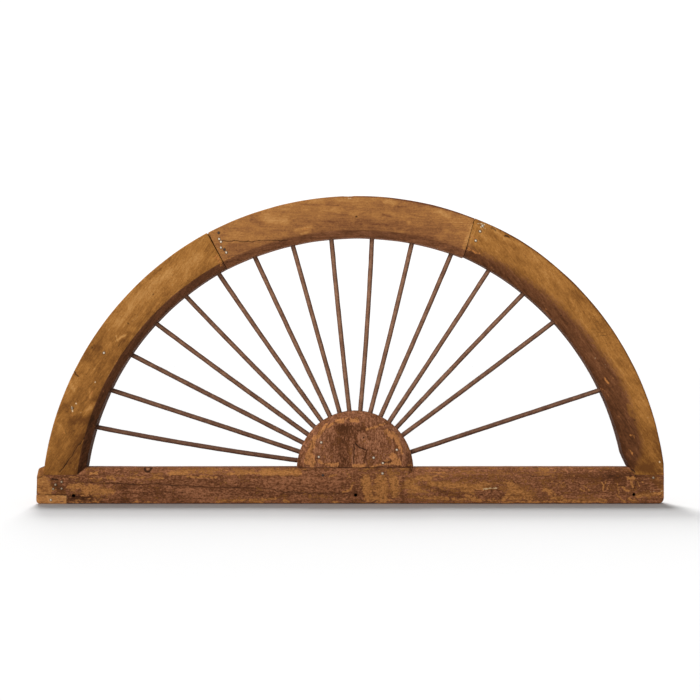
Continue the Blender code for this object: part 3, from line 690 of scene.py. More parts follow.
def make_felloe(node, steps):
    """Drawn out straight, then bent to its arcs, with its foot scribed over the sill."""
    shape = bmesh.new()
    edge = FELLOE_WIDTH
    ring = outline(shape, [
        ((0, BACK - EASE, 0), 1), ((0, BACK, EASE), 22), ((0, BACK, edge - EASE), 1),
        ((0, BACK - EASE, edge), 18), ((0, FRONT + EASE, edge), 2),
        ((0, FRONT, edge - EASE), 48), ((0, FRONT, ARCH_CHAMFER), 12),
        ((0, FRONT + ARCH_CHAMFER, 0), 14),
    ])
    drawn_along(shape, ring, 1, steps)
    mesh = new_mesh(node, shape)
    share, y, reach = read(mesh).T
    first, last = ENDS[node]
    if node in SCRIBED:
        # Each line along the felloe stops where it meets the sill's top or its chamfer
        foot, clear = (np.full_like(y, value) for value in SCRIBED[node])
        seat = SILL_TOP - np.clip(FRONT + SILL_CHAMFER - y, 0, None)
        for _ in range(SCRIBE_HALVINGS):
            middle = (foot + clear) / 2
            above = bent(node, first, last, middle, reach)[:, 1] > seat
            foot, clear = np.where(above, foot, middle), np.where(above, middle, clear)
        far = 1 - SCRIBED[node][0]
        share = clear + (far - clear) * np.abs(share - SCRIBED[node][0])
    x, z = bent(node, first, last, share, reach).T
    if node == "arch_right":
        (top_x, top_z), (low_x, low_z) = FOOT_RELIEF
        cut = top_x + (low_x - top_x) * (z - top_z) / (low_z - top_z)
        x = np.where((z < top_z) & (reach < EDGE_BAND), np.maximum(x, cut), x)
        x = np.minimum(x, SILL_HIGH.x - GAP)
    place_points(mesh, x, y, z)
    return mesh


def make_tongue(node, clearance=0.0):
    """The tongue at a felloe's right end, or with a clearance the slot for it."""
    shape = bmesh.new()
    side = TONGUE_THICKNESS / 2 + clearance
    inner = TONGUE_INSET - clearance
    outer = FELLOE_WIDTH + (EASE if clearance else -TONGUE_OUTSET)
    ring = outline(shape, [
        ((0, side, inner), 1), ((0, side, outer), 1), ((0, -side, outer), 1),
        ((0, -side, inner), 1),
    ])
    drawn_along(shape, ring, 1, steps=8)
    mesh = new_mesh(node + "_tongue", shape)
    share, y, reach = read(mesh).T
    shoulder = ENDS[node][1][0]
    end = shoulder - TONGUE_REACH - math.degrees(clearance / SOFFITS[node][2])
    root = shoulder + TONGUE_ROOT
    x, z = bent(node, (root, root), (end, end), share, reach).T
    place_points(mesh, x, y, z)
    return mesh


def felloe_fields(node, mesh):
    """How far each point is in from the soffit and from the outer edge, and how near
    the front face it is, from 0 behind the chamfer to 1 on the face."""
    x, y, z = read(mesh).T
    inner, outer = SOFFITS[node], EDGES[node]
    inset = np.hypot(x - inner[0], z - inner[1]) - inner[2]
    outset = outer[2] - np.hypot(x - outer[0], z - outer[1])
    return inset, outset, rise(y, FRONT + ARCH_CHAMFER + 0.001, -ARCH_CHAMFER)


# The places of the rods: the angle of each at the soffit, then how far the rod misses the
# point that they all aim at, and how far it is bowed. Places 16 and 18 are empty.
ROD_RADIUS, SOCKET_RADIUS, ARCH_SOCKET, HUB_SOCKET = 0.0049, 0.0054, 0.022, 0.018
ROD_FOCUS = Vector((0.011, 0, 0.0637))
HUB_RADIUS, HUB_CHAMFER = 0.1140, 0.0135
RODS = {
    1: (162.5, -0.0003, 0.0033), 2: (154.1, 0.0, -0.0003), 3: (145.5, -0.0005, 0.0002),
    4: (137.1, -0.0012, 0.0012), 5: (128.6, -0.0014, 0.0015), 6: (120.2, -0.0005, 0.0013),
    7: (111.8, 0.0005, 0.0003), 8: (103.4, 0.0, -0.0001), 9: (95.1, 0.0004, 0.0009),
    10: (86.5, -0.0011, -0.0020), 11: (78.0, -0.0009, -0.0011), 12: (69.4, -0.0029, -0.0010),
    13: (60.8, -0.0029, -0.0009), 14: (52.0, -0.0008, 0.0010), 15: (43.3, -0.0003, -0.0009),
    16: (34.6, 0.0, 0.0), 17: (25.9, -0.0004, 0.0001), 18: (17.4, 0.0, 0.0),
}
EMPTY_PLACES = (16, 18)


def rod_line(angle, drift):
    """A rod's ends at the arch and at the hub, and its direction from arch to hub."""
    left_joint, right_joint = ENDS["arch_left"][1][0], ENDS["arch_crown"][1][0]
    node = "arch_crown" if angle > right_joint else "arch_right"
    node = "arch_left" if angle > left_joint else node
    x, z = arc_points(SOFFITS[node], np.array(angle))
    top = Vector((x, 0, z))
    aim = (ROD_FOCUS - top).normalized()
    down = (ROD_FOCUS + Vector((aim.z, 0, -aim.x)) * drift - top).normalized()
    reach = (HUB_CENTRE - top).dot(down)
    across = (HUB_CENTRE - top - down * reach).length
    return node, top, top + down * (reach - math.sqrt(HUB_RADIUS ** 2 - across ** 2)), down


def drilled(mesh, piece):
    """The arch and the hub have a blind hole at each rod's place, bored before assembly."""
    holes = bmesh.new()
    proud = 0.004
    for angle, drift, bow in RODS.values():
        node, top, foot, down = rod_line(angle, drift)
        if piece == "hub":
            add_bore(holes, foot - down * proud, foot + down * HUB_SOCKET, SOCKET_RADIUS)
        elif piece == node:
            add_bore(holes, top + down * proud, top - down * ARCH_SOCKET, SOCKET_RADIUS)
    return sawn(mesh, new_mesh("holes", holes))


left = sawn(make_felloe("arch_left", steps=380), make_tongue("arch_left"), "UNION")
left = drilled(left, "arch_left")
crown = sawn(make_felloe("arch_crown", steps=370), make_tongue("arch_left", GAP))
crown = drilled(sawn(crown, make_tongue("arch_crown"), "UNION"), "arch_crown")
right = sawn(make_felloe("arch_right", steps=410), make_tongue("arch_crown", GAP))
right = drilled(right, "arch_right")

FOOT_SPLIT = (-517, 128, -529, 112, -545, 87, -556, 72, -564, 62)
FOOT_CHECK = (-527, 118, -537, 105, -552, 83)
LEFT_MARKS = {"tone": [
    (-272, 476, -256, 456, 12, 0.08), (-398, 432, -386, 430, 9, 0.08), (-550, 214, -546, 212, 8, 0.14),
    (-422, 398, -305, 476, 27, 0.09), (-377, 435, -352, 451, 13.6, 0.1),
    (-426, 340, -404, 338, 9, 0.16), (-426, 322, -418, 324, 8, 0.14), (-501, 296, -498, 286, 9, 0.1),
    (-496, 208, -502, 194, 7, -0.14), (-422, 359, -412, 365, 4, 0.2), (-455, 317, -440, 326, 5, 0.2),
    (-331, 459, -318, 470, 13.6, 0.06), (-418, 394, -407, 408, 11.7, 0.07),
    # The two narrow light strokes from (-455, 326) to (-437, 329) are painted highlights on the edges
    # of a gouge
    (-455, 352, -428, 383, 16, 0.13), (-455, 326, -450, 316, 2.6, 0.34),
    (-449, 321, -437, 329, 2.6, 0.34), (-465, 342, -447, 357, 11.7, 0.06),
    (-560, 217, -533, 239, 11.7, 0.08), (-538, 205, -528, 218, 9, -0.12),
    (-506, 224, -506, 206, 3.4, 0.22), (-541, 224, -528, 240, 3, 0.12),
    (-496, 262, -509, 246, 3.4, 0.14), (-576, 168, -560, 145, 9, 0.1),
    (-521, 249, -508, 264, 3.9, 0.13), (-517, 173, -498, 194, 9.7, 0.24),
    (-548, 236, -536, 222, 8, 0.16), (-590, 96, -580, 130, 8, 0.1), (-552, 190, -540, 135, 10, -0.1),
    (-436, 312, -362, 400, 9, 0.08), (-531, 177, -502, 186, 3.1, 0.14),
    (-477, 241, -457, 274, 3.5, 0.15), (-580, 105, -560, 171, 11.7, 0.08),
    # The dark stroke from (-418, 410) to (-370, 457) is painted shade along the outer edge
    (-418, 410, -370, 457, 4.9, -0.14), (-510, 285, -488, 305, 17, -0.2),
    (-496, 270, -482, 287, 9.7, -0.06), (-535, 161, -502, 167, 15.6, -0.22),
    (-570, 179, -558, 192, 9.7, -0.09), (-479, 346, -486, 319, 9.7, -0.09),
    (-440, 375, -432, 385, 5.8, -0.06), (-292, 490, -263, 513, 15.6, -0.05),
    (-564, 66, -525, 124, 17.5, -0.06), (-552, 81, -529, 66, 15.6, -0.06),
    (-593, 66, -576, 81, 11.7, 0.08), (-389, 367, -340, 416, 9.7, -0.05),
    (-457, 299, -418, 338, 11.7, -0.04),
], "rub": [
    (-261, 482, -249, 464, 6.8, 0.6), (-463, 264, -451, 280, 2.9, 0.5),
    (-510, 200, -502, 219, 2.9, 0.45),
], "fleck": [
    (-495, 237, 2.7, 0.9), (-533, 196, 2.9, 0.8), (-542, 189, -540, 181, 2.7, 0.9),
    (-582, 103, 2.5, 0.8),
], "dirt": [
    (-383, 407, 4.7, 0.75), (-431, 351, 5.1, 0.65), (-440, 375, 3.1, 0.5), (-503, 304, 5.1, 0.65),
    (-508, 299, -494, 311, 2.3, 0.5), (-502, 287, -488, 301, 2.3, 0.45),
    (-510, 276, -500, 285, 1.9, 0.4), (-536, 258, -534, 251, -527, 248, 3.2, 0.8),
    (-501, 268, -513, 251, 2, 0.55), (-554, 144, -551, 134, 2.4, 0.45), (-557, 145, -545, 145, 2, 0.4),
    (-458, 328, -452, 315, 1.9, 0.5), (-538, 142, 2.9, 1), (-543, 79, 3.1, 0.9), (-552, 132, 1.9, 0.4),
    (*FOOT_SPLIT, 2.3, 0.85), (*FOOT_CHECK, 1.9, 0.55), (-393, 375, -377, 398, 1.9, 0.5),
    (-424, 355, -412, 367, 1.9, 0.5), (-457, 309, -451, 320, 1.9, 0.55),
    (-451, 307, -436, 322, 1.9, 0.55), (-449, 324, -436, 330, 1.9, 0.4),
    (-389, 357, -375, 373, 1.8, 0.3),
], "crack": [
    (*FOOT_SPLIT, 2.3, 0.9), (*FOOT_CHECK, 1.8, 0.4), (-536, 253, -529, 249, 3.8, 2.2),
    (-383, 407, 4.3, 0.8), (-431, 351, 4.7, 0.8), (-451, 307, -436, 322, 2.3, 0.5),
    (-424, 355, -412, 367, 2.3, 0.5),
]}
CROWN_SPLIT = (-248, 511, -185, 510, -121, 512)
CROWN_CHECK = (101, 529, 144, 534, 218, 538)
CROWN_MARKS = {"tone": [
    (238, 541, 222, 499, 7, 0.18), (-75, 586, -55, 587, 10, 0.12), (160, 571, 175, 570, 8, 0.13),
    (-164, 556, -129, 552, 19, 0.26), (-171, 567, -132, 574, 9.7, 0.05),
    (-107, 532, -76, 538, 5.8, 0.22), (-97, 525, -78, 530, 3.9, 0.2), (-61, 560, 5.8, 0.2),
    (113, 547, 7.4, 0.28), (112, 572, 126, 570, 9, -0.12), (-182, 524, -168, 525, 9, -0.12),
    (68, 588, 87, 583, 9, 0.2), (116, 571, 136, 591, 13.6, 0.05), (21, 530, 31, 529, 2.9, 0.14),
    (-55, 581, -35, 579, 3.9, 0.06), (-255, 499, -235, 521, 15.6, 0.04), (175, 567, 192, 559, 8, 0.2),
    (87, 534, 103, 528, 3.9, 0.14), (167, 519, 188, 513, 5.8, 0.08), (-192, 553, 5.8, -0.18),
    (-109, 549, 4.9, -0.2), (-95, 582, -22, 580, 2.7, -0.18), (-41, 564, -6, 562, 4.3, -0.16),
    (17, 562, 27, 566, 2.3, -0.14), (22, 542, 5.8, -0.16), (11, 548, 33, 550, 3.1, -0.1),
    (43, 545, 58, 542, 2.3, -0.14), (65, 562, 80, 559, 4.3, -0.24), (76, 578, 7.8, -0.13),
    (87, 579, 107, 577, 3.9, -0.12), (-72, 544, -55, 540, 2.3, -0.1), (45, 528, 107, 523, 4.9, -0.1),
    (83, 575, 140, 585, 9.7, -0.08), (115, 563, 141, 559, 3.1, -0.16),
    (181, 497, 218, 482, 11.7, -0.15), (-39, 548, 175, 540, 16, -0.14), (-56, 571, -14, 571, 10, 0.12),
    (190, 546, 204, 532, 10, -0.13), (172, 495, 196, 490, 10, -0.1), (20, 556, 34, 554, 9, -0.12),
    (-216, 476, -196, 480, 9, -0.2), (-136, 572, -120, 573, 9, 0.1), (-30, 590, 60, 592, 8, 0.06),
], "rub": [
    (-241, 484, -230, 472, 4.9, 0.45), (113, 547, 4.7, 0.4), (-105, 532, -78, 536, 2.7, 0.4),
], "fleck": [
    (-8, 595, 4, 594, 3.5, 0.42), (234, 545, 2.5, 0.5),
], "dirt": [
    (12, 558, 4.3, 0.9), (*CROWN_SPLIT, 2.1, 0.85), (-224, 503, -166, 503, 2.3, 0.35),
    (-237, 504, -232, 504, 2.7, 0.5), (-216, 500, 3.9, 0.5), (*CROWN_CHECK, 1.8, 0.4),
    (144, 546, 181, 552, 1.6, 0.28), (219, 524, 3.1, 0.45), (176, 496, 190, 491, 8, 0.42),
    (158, 581, 181, 576, 2.7, 0.5), (-192, 553, 3.5, 0.3),
], "crack": [
    (*CROWN_SPLIT, 1.9, 0.8), (12, 558, 3.9, 0.8), (*CROWN_CHECK, 1.8, 0.3),
    (-10, 598, 4, 598, 4.3, 1),
]}
RIGHT_MARKS = {"tone": [
    (245, 541, 231, 502, 2.6, 0.16), (304, 514, 326, 505, 9, 0.13), (540, 76, 585, 70, 12, -0.24),
    (566, 162, 575, 138, 11, -0.12), (282, 531, 298, 518, 11, 0.22), (255, 480, 266, 474, 10, 0.12),
    (560, 66, 606, 62, 7, -0.14), (564, 95, 580, 82, 12, -0.12), (346, 468, 360, 456, 9, -0.1),
    (520, 140, 532, 98, 11, -0.16), (343, 499, 428, 422, 27.2, 0.08), (377, 451, 408, 420, 15.6, 0.04),
    (429, 396, 4.7, 0.14), (435, 387, 4.7, 0.14), (441, 375, 4.3, 0.12),
    (447, 365, 461, 338, 5.8, 0.12), (536, 260, 575, 192, 15.6, 0.06),
    (556, 198, 587, 163, 15.6, 0.05), (365, 414, 400, 383, 3.1, 0.12), (350, 422, 385, 390, 2.3, 0.08),
    (246, 534, 9.7, -0.14), (249, 480, 286, 462, 13.6, -0.08), (280, 449, 315, 425, 9.7, -0.14),
    (303, 460, 332, 449, 11.7, -0.07), (426, 418, 457, 394, 9.7, -0.04), (435, 412, 7.8, -0.1),
    (517, 245, 529, 238, 5.8, -0.12), (507, 191, 11.7, -0.1), (523, 109, 540, 70, 9.7, -0.16),
    (470, 361, 498, 334, 13.6, -0.04), (548, 163, 552, 95, 9.7, -0.08),
    (593, 144, 606, 89, 11.7, -0.08), (564, 81, 606, 66, 17.5, -0.04),
], "bare": [
    (520, 140, 532, 98, 13, -0.3), (540, 190, 544, 172, 9, 0.25),
], "rub": [
    (231, 495, 251, 487, 4.7, 0.9), (235, 521, 243, 518, 3.5, 0.6), (279, 450, 3.9, 1),
    (494, 245, 502, 233, 2.9, 0.7), (489, 256, 501, 238, 1.8, 0.5), (545, 134, 553, 133, 2.3, 0.6),
    (552, 131, 554, 118, 2.1, 0.6), (543, 108, 549, 95, 2.7, 0.75),
    (481, 221, 492, 194, 501, 167, 3.9, 0.75), (461, 266, 479, 230, 2.7, 0.55), (522, 140, 2.5, 0.4),
    (573, 59, 610, 59, 1.9, 0.5),
], "fleck": [
    (249, 544, 261, 543, 1.9, 0.7), (253, 539, 263, 536, 2.3, 0.8), (279, 450, 3.3, 0.9),
    (476, 283, 3, 0.55), (494, 278, 497, 264, 2.6, 0.35), (486, 249, 2.8, 0.45), (555, 156, 3.1, 0.45),
    (602, 83, 2.5, 0.5), (602, 81, 3.3, 0.85), (600, 74, 3.1, 0.45), (536, 119, 3.5, 0.2),
], "dirt": [
    (302, 522, 309, 518, 4.6, 0.9), (275, 536, 282, 533, 3.9, 0.65), (411, 366, 4.3, 0.85),
    (470, 364, 485, 364, 1.6, 0.55), (474, 354, 484, 353, 2.2, 0.6), (470, 348, 486, 348, 1.6, 0.6),
    (470, 339, 488, 339, 1.6, 0.6), (468, 333, 496, 334, 1.6, 0.62), (486, 328, 500, 329, 2, 0.62),
    (474, 359, 482, 359, 1.4, 0.4), (488, 360, 499, 344, 507, 328, 2.2, 0.6),
    (428, 406, 441, 389, 1.9, 0.35), (554, 162, 4.7, 0.8), (550, 171, 3.9, 0.4),
    (531, 77, 542, 70, 554, 61, 3.5, 0.85),
], "crack": [
    (411, 366, 3.9, 0.8), (554, 162, 4.3, 0.9), (303, 522, 308, 519, 4.2, 1),
    (470, 369, 479, 354, 1.6, 0.25), (476, 361, 486, 346, 1.6, 0.25), (484, 354, 494, 338, 1.6, 0.25),
]}
# The joint lines, which mark the felloes on both sides
JOINTS = {
    "dirt": [
        (-275, 525, -268, 511, 2.4, 0.7), (-268, 511, -244, 467, 1.6, 0.3),
        (241, 544, 229, 504, 1.3, 0.12), (229, 504, 221, 480, 1.6, 0.3),
    ],
    "crack": [(-273, 521, -268, 511, 2, 0.8)],
}
FELLOE_BARE = (
    (0.18, (0.130, 0.047, 0.011)), (0.40, (0.235, 0.094, 0.020)), (0.60, (0.36, 0.154, 0.035)),
    (0.82, (0.49, 0.240, 0.072)),
)


def dress_felloe(node, mesh, marks, grain, tone, paint, bare, red):
    """Mark a felloe, round its arrises, and give it its finish."""
    inset, outset, front = felloe_fields(node, mesh)
    places = read(mesh)
    x, y, z = places.T
    marks = {kind: [*marks.get(kind, ()), *JOINTS.get(kind, ())] for kind in (*marks, *JOINTS)}
    worn = ripple(places, (0.03, 0.03, 0.03), 9)
    arris = rise(np.hypot(inset - ARCH_CHAMFER, y - FRONT), 0.004, -0.004)
    # Painted shade along the outer edge of the front, patchy, and mostly on the right
    outer_edge_shade = rise(np.hypot(outset, y - FRONT), 0.0039, -0.003)
    outer_edge_shade = outer_edge_shade * (0.3 + 0.5 * worn) * np.interp(x, (-0.10, 0.15, 0.45, 0.58), (0, 1, 1, 0.4))
    uneven = ripple(places, (0.03, 0.02, 0.03), 5) * 0.0005 + arris * worn * 0.0012
    wear(mesh, marks, front, tone - outer_edge_shade, paint, uneven)
    name = node.replace("arch_", "") + "_felloe"
    add_piece(name, mesh, old_wood(
        name + "_wood", grain=grain, seed=17 + grain, flaking=0.3, bare=bare, paint=red,
        dirt=(0.026, 0.011, 0.006), fleck=(0.60, 0.44, 0.26), rub=(0.44, 0.17, 0.045),
    ), "golden_wood", node)


# The chamfers keep their paint. The left one is the darkest, with paint and with painted shade, as it
# faces away from the light, and its soffit is painted darker as painted shade
inset = felloe_fields("arch_left", left)[0]
height = read(left)[:, 2]
dress_felloe(
    "arch_left", left, LEFT_MARKS, grain=55,
    tone=0.40 + 0.15 * rise(height, 0.15, 0.25) - 0.08 * rise(inset, 0.040, -0.02)
    + 0.08 * (inset < ARCH_CHAMFER) - 0.1 * (inset < 0.002),
    paint=0.10 + 0.85 * rise(inset, ARCH_CHAMFER + 0.001, -0.003),
    bare=FELLOE_BARE,
    red=(
        (0.2, (0.060, 0.023, 0.009)), (0.40, (0.107, 0.039, 0.015)), (0.58, (0.140, 0.052, 0.021)),
        (0.8, (0.18, 0.068, 0.029)),
    ),
)
inset = felloe_fields("arch_crown", crown)[0]
dress_felloe(
    "arch_crown", crown, CROWN_MARKS, grain=0,
    tone=0.53 - 0.10 * rise(inset, 0.040, -0.02),
    paint=0.10 + 0.75 * rise(inset, ARCH_CHAMFER + 0.002, -0.005),
    bare=(
        (0.18, (0.140, 0.050, 0.020)), (0.40, (0.255, 0.103, 0.034)), (0.60, (0.37, 0.160, 0.045)),
        (0.82, (0.49, 0.240, 0.078)),
    ),
    red=((0.2, (0.12, 0.043, 0.016)), (0.45, (0.21, 0.080, 0.032)), (0.8, (0.33, 0.138, 0.060))),
)
# The paint on the right felloe spreads over its face, and is narrower towards its top
inset = felloe_fields("arch_right", right)[0]
x, y, z = read(right).T
turn = np.degrees(np.arctan2(z - CENTRE.z, x - CENTRE.x))
spread = np.interp(turn, (8, 17, 26, 34, 43, 52, 60), (0.038, 0.040, 0.042, 0.036, 0.030, 0.026, 0.022))
spread = np.minimum(spread, 0.012 + np.maximum(z - 0.062, 0) * 0.6)
soft = np.interp(turn, (10, 30, 50), (0.024, 0.028, 0.032))
dress_felloe(
    "arch_right", right, RIGHT_MARKS, grain=-54,
    tone=0.51 - 0.12 * rise(z, 0.16, -0.1) - 0.11 * rise(inset, 0.009, -0.004)
    - 0.15 * rise(np.abs(turn - 20), 11.2, -8) * (inset < 0.024),
    paint=0.08 + 0.85 * rise(inset, spread + soft / 2, -soft),
    bare=FELLOE_BARE,
    red=((0.2, (0.070, 0.024, 0.008)), (0.5, (0.135, 0.049, 0.018)), (0.8, (0.22, 0.088, 0.036))),
)


# HUB
# A disc of softwood, turned with a chamfered front edge and sawn off flat, that stands on
# the sill and takes the lower ends of the rods. It is skew-nailed and thick with paint.
HUB_POLE = 0.003
SLANTING_SPLIT = (11, 116, 21, 109, 29, 105)
UPRIGHT_SPLIT = (8, 115, 7, 78)
RIGHT_SPLIT = (32, 103, 29, 91, 28, 78)
HUB_MARKS = {"tone": [
    (-11, 144, -12, 81, 21, -0.36), (-16, 147, 27, 146, 13, -0.32), (10, 136, 11, 116, 5.7, -0.36),
    (20, 131, 35, 116, 13, 0.2), (1, 122, 2, 80, 5, 0.2), (19, 100, 21, 80, 7, 0.16),
    (-62, 124, -47, 85, 17.5, 0.08), (43, 112, 78, 95, 15.6, 0.08), (66, 81, 80, 81, 3.5, -0.4),
    (31, 103, 27, 79, 4.7, -0.3), (-59, 140, -39, 147, 9.7, 0.1), (84, 140, 112, 104, 10, 0.28),
    (-100, 92, -98, 66, 9, -0.24), (84, 75, 108, 74, 7, -0.2), (-36, 128, -34, 110, 9, -0.18),
], "rub": [
    (-46, 154, -58, 138, -68, 128, 7, 0.88), (-68, 128, -74, 112, -82, 96, -85, 80, 9, 0.95),
    (-80, 92, -74, 80, 14, 1.25), (-60, 84, -52, 78, 7, 0.6), (-47, 77, -25, 75, 8, 0.8),
    (-25, 161, -16, 161, 7, 0.9), (-43, 151, -33, 156, 6, 0.75), (2, 162, 14, 163, 7, 1),
    (31, 146, 54, 149, 4.5, 0.9), (56, 153, 66, 155, 5, 0.7), (71, 142, 81, 131, 9, 1),
    (84, 136, 97, 112, 9, 0.85), (101, 107, 101, 99, 5, 0.75), (84, 92, 92, 80, 12, 1),
    (70, 84, 80, 80, 5, 0.6), (38, 72, 85, 79, 3.8, 0.9), (113, 74, 121, 74, 3.3, 0.85),
    (8, 74, 27, 74, 6.5, 1.4), (-14, 165, -4, 167, 4, 0.6),
], "fleck": [
    (45, 89, 3.1, 0.6),
], "dirt": [
    (-103, 74, -92, 69, 8, 0.6), (*SLANTING_SPLIT, 2.6, 0.95), (*UPRIGHT_SPLIT, 2.1, 0.85),
    (2, 120, 0, 80, 1.7, 0.5), (*RIGHT_SPLIT, 2.9, 0.5), (26, 128, 3.4, 1.2), (35, 131, 3.4, 1.2),
    (40, 81, 76, 84, 1.9, 0.45), (-90, 70, 122, 72, 1.8, 0.7), (-88, 83, -70, 83, 1.6, 0.45),
    (-88, 77, -69, 77, 1.6, 0.45), (66, 81, 80, 81, 3.1, 0.5), (-20, 153, 0, 149, 31, 155, 1.8, 0.35),
    (-27, 145, -4, 140, 11, 142, 1.8, 0.3), (11, 138, 31, 141, 46, 136, 1.8, 0.35),
], "crack": [
    (*SLANTING_SPLIT, 2.3, 0.9), (*UPRIGHT_SPLIT, 2.1, 1.1), (*RIGHT_SPLIT, 2.9, 0.9),
    (26, 128, 3.4, 1.3), (35, 131, 3.4, 1.3), (-12, 144, -12, 81, 15.6, 0.5),
]}


def make_hub():
    """A section drawn out straight, rolled into half a disc, and sawn off flat below."""
    shape = bmesh.new()
    face = HUB_RADIUS - HUB_CHAMFER
    ring = outline(shape, [
        ((0, FRONT, HUB_POLE), 64), ((0, FRONT, face), 12),
        ((0, FRONT + HUB_CHAMFER, HUB_RADIUS), 14), ((0, BACK - EASE, HUB_RADIUS), 1),
        ((0, BACK, HUB_RADIUS - EASE), 28), ((0, BACK, HUB_POLE), 1),
    ])
    drawn_along(shape, ring, math.pi, steps=240)
    for vert in shape.verts:
        turn, y, reach = vert.co
        vert.co = HUB_CENTRE + Vector((math.cos(turn) * reach, y, math.sin(turn) * reach))
    cut = bmesh.ops.bisect_plane(
        shape, geom=shape.verts[:] + shape.edges[:] + shape.faces[:],
        plane_co=(0, 0, SILL_TOP), plane_no=(0, 0, -1), clear_outer=True,
    )
    rim = [item for item in cut["geom_cut"] if isinstance(item, bmesh.types.BMEdge)]
    bmesh.ops.contextual_create(shape, geom=rim)
    return new_mesh("hub", shape)


hub = drilled(make_hub(), "hub")
places = read(hub)
x, y, z = places.T
reach = np.hypot(x - HUB_CENTRE.x, z - HUB_CENTRE.z)
rim = rise(reach, HUB_RADIUS - HUB_CHAMFER, 0.004)
wear(
    hub, HUB_MARKS, front=rise(y, FRONT + 0.016, -0.006), tone=0.5 - 0.01 * rim,
    paint=0.84 - 0.04 * rim, uneven=ripple(places, (0.02, 0.02, 0.03), 7) * 0.0004,
)
add_piece("hub_block", hub, old_wood(
    "hub_wood", grain=90, seed=41,
    bare=(
        (0.2, (0.12, 0.042, 0.014)), (0.42, (0.26, 0.10, 0.03)), (0.6, (0.38, 0.16, 0.045)),
        (0.8, (0.48, 0.24, 0.08)),
    ),
    paint=(
        (0.0, (0.080, 0.027, 0.009)), (0.34, (0.165, 0.060, 0.025)), (0.60, (0.265, 0.104, 0.048)),
        (0.95, (0.40, 0.172, 0.083)),
    ),
    dirt=(0.034, 0.013, 0.006), fleck=(0.60, 0.42, 0.24), rub=(0.50, 0.205, 0.068),
), "painted_wood", "hub")


# RODS
# Sixteen round bars of iron, each pushed into a hole in the hub and a hole in the arch.
# They are brown with old rust. Two more places are empty.
ROD_WASTING = 0.10


def make_rod(number):
    """Drawn out straight, wasted a little by rust, and bent to its slight bow."""
    angle, drift, bow = RODS[number]
    node, top, foot, down = rod_line(angle, drift)
    start, end = top - down * (ARCH_SOCKET - GAP), foot + down * (HUB_SOCKET - GAP)
    shape = bmesh.new()
    bmesh.ops.create_circle(
        shape, cap_ends=True, segments=16, radius=ROD_RADIUS,
        matrix=Matrix.Rotation(math.pi / 2, 4, "Y"),
    )
    drawn_along(shape, shape.faces[:], 1, steps=110)
    mesh = new_mesh(f"rod_{number}", shape)
    along, y, side = read(mesh).T
    # Turned over side to side, or its faces would point inwards once it is laid in place
    along, side = along * (end - start).length, -side
    thin = 1 - ripple(np.stack((along, y, side), axis=1), (0.018, 0.006, 0.006), number) * ROD_WASTING
    free = rise(along, ARCH_SOCKET, (foot - top).length)
    bend = side * thin + bow * 4 * free * (1 - free)
    x = start.x + along * down.x + bend * down.z
    z = start.z + along * down.z - bend * down.x
    place_points(mesh, x, y * thin, z)
    # Painted shade: each rod is lighter down its front and back and darker along its two edges as seen
    # from the front, and darker the nearer it lies to level
    carry(mesh, rubbed=1 - np.abs(side) / ROD_RADIUS - (1 - math.sin(math.radians(angle))))
    return mesh


def rusty_iron():
    finish = Finish("rusty_iron")
    here = finish.node("ShaderNodeTexCoord", {}, {}, "Object")
    bloom = finish.noise(here, (70, 70, 70), 51, detail=4, rough=0.6)
    scale = finish.noise(here, (420, 420, 420), 52, detail=3, rough=0.6)
    # Painted shade: the rods are lighter down the front, and darker at their edges and the nearer they
    # lie to level
    rubbed = finish.painted("rubbed")
    colour = finish.ramp(
        ((0.25, (0.108, 0.047, 0.026)), (0.5, (0.196, 0.093, 0.051)), (0.75, (0.290, 0.149, 0.086))),
        0.30 + (bloom - 0.5) * 0.95 + (scale - 0.5) * 0.7 + rubbed * 0.36,
    )
    finish.feed(finish.shader, {
        "Base Color": colour, "Normal": finish.bump(0.4, 0.0004, scale + bloom * 0.5),
        "Roughness": 0.62 + (scale - 0.5) * 0.5, "Specular IOR Level": 0.15,
    })
    return finish.material


rust = rusty_iron()
for number in sorted(set(RODS) - set(EMPTY_PLACES)):
    add_piece(f"rod_bar_{number:02d}", make_rod(number), rust, "rusty_iron", f"rod_{number:02d}")


# NAILS
# Steel nails with low domed heads, driven square into the front over the years. Most heads are rubbed
# bright, and each head carries a painted highlight, light at its crown and darker towards its rim.
# Those near the arch's feet are dull, and a few are dark.
DARK_NAILS = ("nail_left_joint_1", "nail_left_joint_5", "nail_sill_2")
DULL_NAILS = ("nail_left_foot", "nail_right_foot", "nail_left_felloe_2")
# A nail's outline, from its crown down: its radius, and its height over the front face
NAIL_PROFILE = (
    (0, 0.0006), (0.0009, 0.00055), (0.00165, 0.00042), (0.0022, 0.0002), (0.0025, -0.0001),
    (0.0024, -0.0004), (0.0012, -0.0005), (0.0012, -0.026), (0, -0.029),
)


def make_nail(x, z):
    """Turned from its outline, and carrying how near each point is to its rim, where the painted
    highlight darkens.
    """
    shape = bmesh.new()
    verts = [shape.verts.new((radius, 0, height)) for radius, height in NAIL_PROFILE]
    profile = [shape.edges.new(pair) for pair in zip(verts, verts[1:])]
    bmesh.ops.spin(
        shape, geom=verts + profile, cent=(0, 0, 0), axis=(0, 0, 1), angle=math.tau,
        steps=16, use_merge=True,
    )
    bmesh.ops.remove_doubles(shape, verts=shape.verts, dist=0.00002)
    bmesh.ops.transform(
        shape, verts=shape.verts,
        matrix=Matrix.Translation((x, FRONT, z)) @ Matrix.Rotation(math.pi / 2, 4, "X"),
    )
    mesh = new_mesh("nail", shape)
    places = read(mesh)
    carry(mesh, rim=rise(np.hypot(places[:, 0] - x, places[:, 2] - z), 0.0012, 0.0010))
    return mesh


